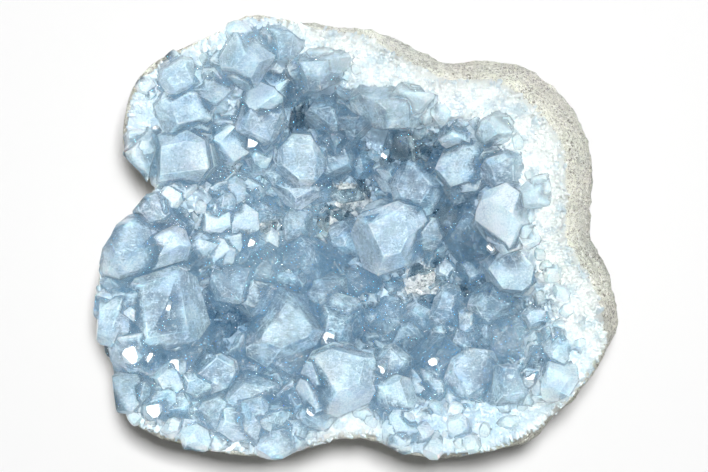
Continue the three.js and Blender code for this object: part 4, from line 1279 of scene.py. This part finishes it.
class GEODE_OT_make_druse(bpy.types.Operator):
    """Strew tiny crystals over the rim and between the larger ones"""

    bl_idname = "geode.make_druse"
    bl_label = "Make Druse"

    def execute(self, context):
        rows = self.rows(context.scene.geode_sizes.druse_spacing)
        index = np.arange(len(rows)) + 3000
        points, solid, corners, counts, owner = cut_solids(*grain_planes(rows, index))
        points = stand_up(points, solid, rows)
        mesh = mesh_from_arrays("Druse", points, corners, counts)
        add_value(mesh, "crevice_shade", crevice_shade(points), "POINT")
        add_value(mesh, "rim", rim_share(rows)[solid], "POINT")
        add_value(mesh, "cloudy", np.clip(rows[solid, CLOUDY], 0, 1), "POINT")
        tone = wobble(index[owner], np.arange(len(owner)) % 11)
        add_value(mesh, "tone", 0.5 + 0.5 * tone, "FACE")
        placed("Druse", mesh, sugar_finish(), "crystal_crust", False)
        return {"FINISHED"}

    def rows(self, spacing):
        """Rows for the tiny crystals: densest and finest on the rim and in the sugary patches,
        and raised with the crust's edge outside the rim's inner edge."""
        spots = spread_spots(spacing, seed=11, inset=-6.5)
        rng = np.random.default_rng(12)
        far, angle = polar(spots)
        at = around(angle)
        thinner = smooth(far, at.lip + 6.0, at.lip + 1.5)
        share = self.sugary_share(spots)
        kept = rng.uniform(0, 1, len(spots)) < (0.5 + 0.5 * share) * thinner
        kept &= (far < at.reach - 0.3) & (rng.uniform(0, 1, len(spots)) > 0.5 * at.cover)
        kept &= (in_patch(spots, SANDY_PATCHES) < 0.4) & away_from_large(spots, 0.3)
        rows = crystal_rows(spots[kept], size=1.5, stand=0.85, lean=38, seed=13)
        rows[:, STAND:LEAN] *= (1 - 0.5 * self.sugary_share(rows))[:, None]
        far, angle = polar(rows)
        at = around(angle)
        raised = 1.3 * smooth(far, at.lip + 1.0, at.lip + 3.5)
        rows[:, STAND] += raised
        rows[:, LENGTH] += raised
        return rows

    def sugary_share(self, points):
        """1 on the massive band at the rim and inside the sugary patches, and 0 elsewhere."""
        patches = smooth(in_patch(points, SUGARY_PATCHES), 0, 0.3)
        return np.maximum(rim_share(points), patches)


class GEODE_OT_make_stage(bpy.types.Operator):
    """Set up a pale floor, soft studio light and the camera"""

    bl_idname = "geode.make_stage"
    bl_label = "Make Stage"

    def execute(self, context):
        scene = context.scene
        mesh = bpy.data.meshes.new("Floor")
        half = 3.0
        mesh.from_pydata([(-half, -half, 0), (half, -half, 0), (half, half, 0),
                          (-half, half, 0)], [], [(0, 1, 2, 3)])
        floor = bpy.data.objects.new("Floor", mesh)
        scene.collection.objects.link(floor)
        pale = Finish("pale_floor")
        pale.shader.inputs["Base Color"].default_value = (0.93, 0.93, 0.93, 1)
        pale.shader.inputs["Roughness"].default_value = 0.9
        mesh.materials.append(pale.material)
        world = bpy.data.worlds.new("Studio")
        world.use_nodes = True
        background = world.node_tree.nodes["Background"]
        background.inputs["Color"].default_value = (1, 1, 1, 1)
        background.inputs["Strength"].default_value = 0.08
        scene.world = world
        key = self.softbox("Key", (0.07, 0.2, 1.6), size=0.2, power=25.5)
        key.visible_glossy = False
        key.visible_transmission = False
        side = self.softbox("Side", (-0.6, 0.9, 1.3), size=1.5, power=6.0)
        side.visible_diffuse = False
        glint = self.softbox("Glint", GLINT_LAMP, size=0.18, power=3.6)
        glint.visible_diffuse = False
        glint.visible_transmission = False
        fill = self.softbox("Fill", (0, 0, 1.3), size=3.0, power=16.0)
        fill.visible_camera = False
        lit = bpy.data.collections.new("Lit_By_Fill")
        for piece in scene.objects:
            if piece.type == "MESH" and piece is not floor:
                lit.objects.link(piece)
        fill.light_linking.receiver_collection = lit
        camera = bpy.data.cameras.new("Camera")
        camera.lens = camera.sensor_width * (EYE[2] - AIM[2]) / FRAME_WIDTH
        camera.clip_end = 20.0
        eye = bpy.data.objects.new("Camera", camera)
        eye.location = EYE
        scene.collection.objects.link(eye)
        scene.camera = eye
        scene.view_settings.view_transform = "Standard"
        scene.view_settings.gamma = 1.1
        return {"FINISHED"}

    def softbox(self, name, place, size, power):
        """A square light at the place, in metres, turned to face the geode."""
        light = bpy.data.lights.new(name, "AREA")
        light.size, light.energy = size, power
        lamp = bpy.data.objects.new(name, light)
        lamp.location = place
        way = Vector(AIM) - Vector(place)
        lamp.rotation_euler = way.to_track_quat("-Z", "Y").to_euler()
        bpy.context.scene.collection.objects.link(lamp)
        return lamp


class GEODE_PT_panel(bpy.types.Panel):
    """The geode's sizes, colours and steps in the sidebar"""

    bl_idname = "GEODE_PT_panel"
    bl_label = "Celestite Geode"
    bl_space_type = "VIEW_3D"
    bl_region_type = "UI"
    bl_category = "Geode"

    def draw(self, context):
        for group in (context.scene.geode_sizes, context.scene.geode_colours):
            for name in group.__annotations__:
                self.layout.prop(group, name)
        for operator in OPERATORS:
            self.layout.operator(operator.bl_idname)


OPERATORS = (GEODE_OT_make_rock, GEODE_OT_make_massive, GEODE_OT_make_crystals,
             GEODE_OT_make_druse, GEODE_OT_make_stage)
CLASSES = (GeodeSizes, GeodeColours, *OPERATORS, GEODE_PT_panel)


def register():
    for cls in CLASSES:
        bpy.utils.register_class(cls)
    bpy.types.Scene.geode_sizes = PointerProperty(type=GeodeSizes)
    bpy.types.Scene.geode_colours = PointerProperty(type=GeodeColours)


def unregister():
    del bpy.types.Scene.geode_colours
    del bpy.types.Scene.geode_sizes
    for cls in reversed(CLASSES):
        bpy.utils.unregister_class(cls)


def main():
    register()
    bpy.ops.geode.make_rock()
    bpy.ops.geode.make_massive()
    bpy.ops.geode.make_crystals()
    bpy.ops.geode.make_druse()
    bpy.ops.geode.make_stage()


if __name__ == "__main__":
    main()
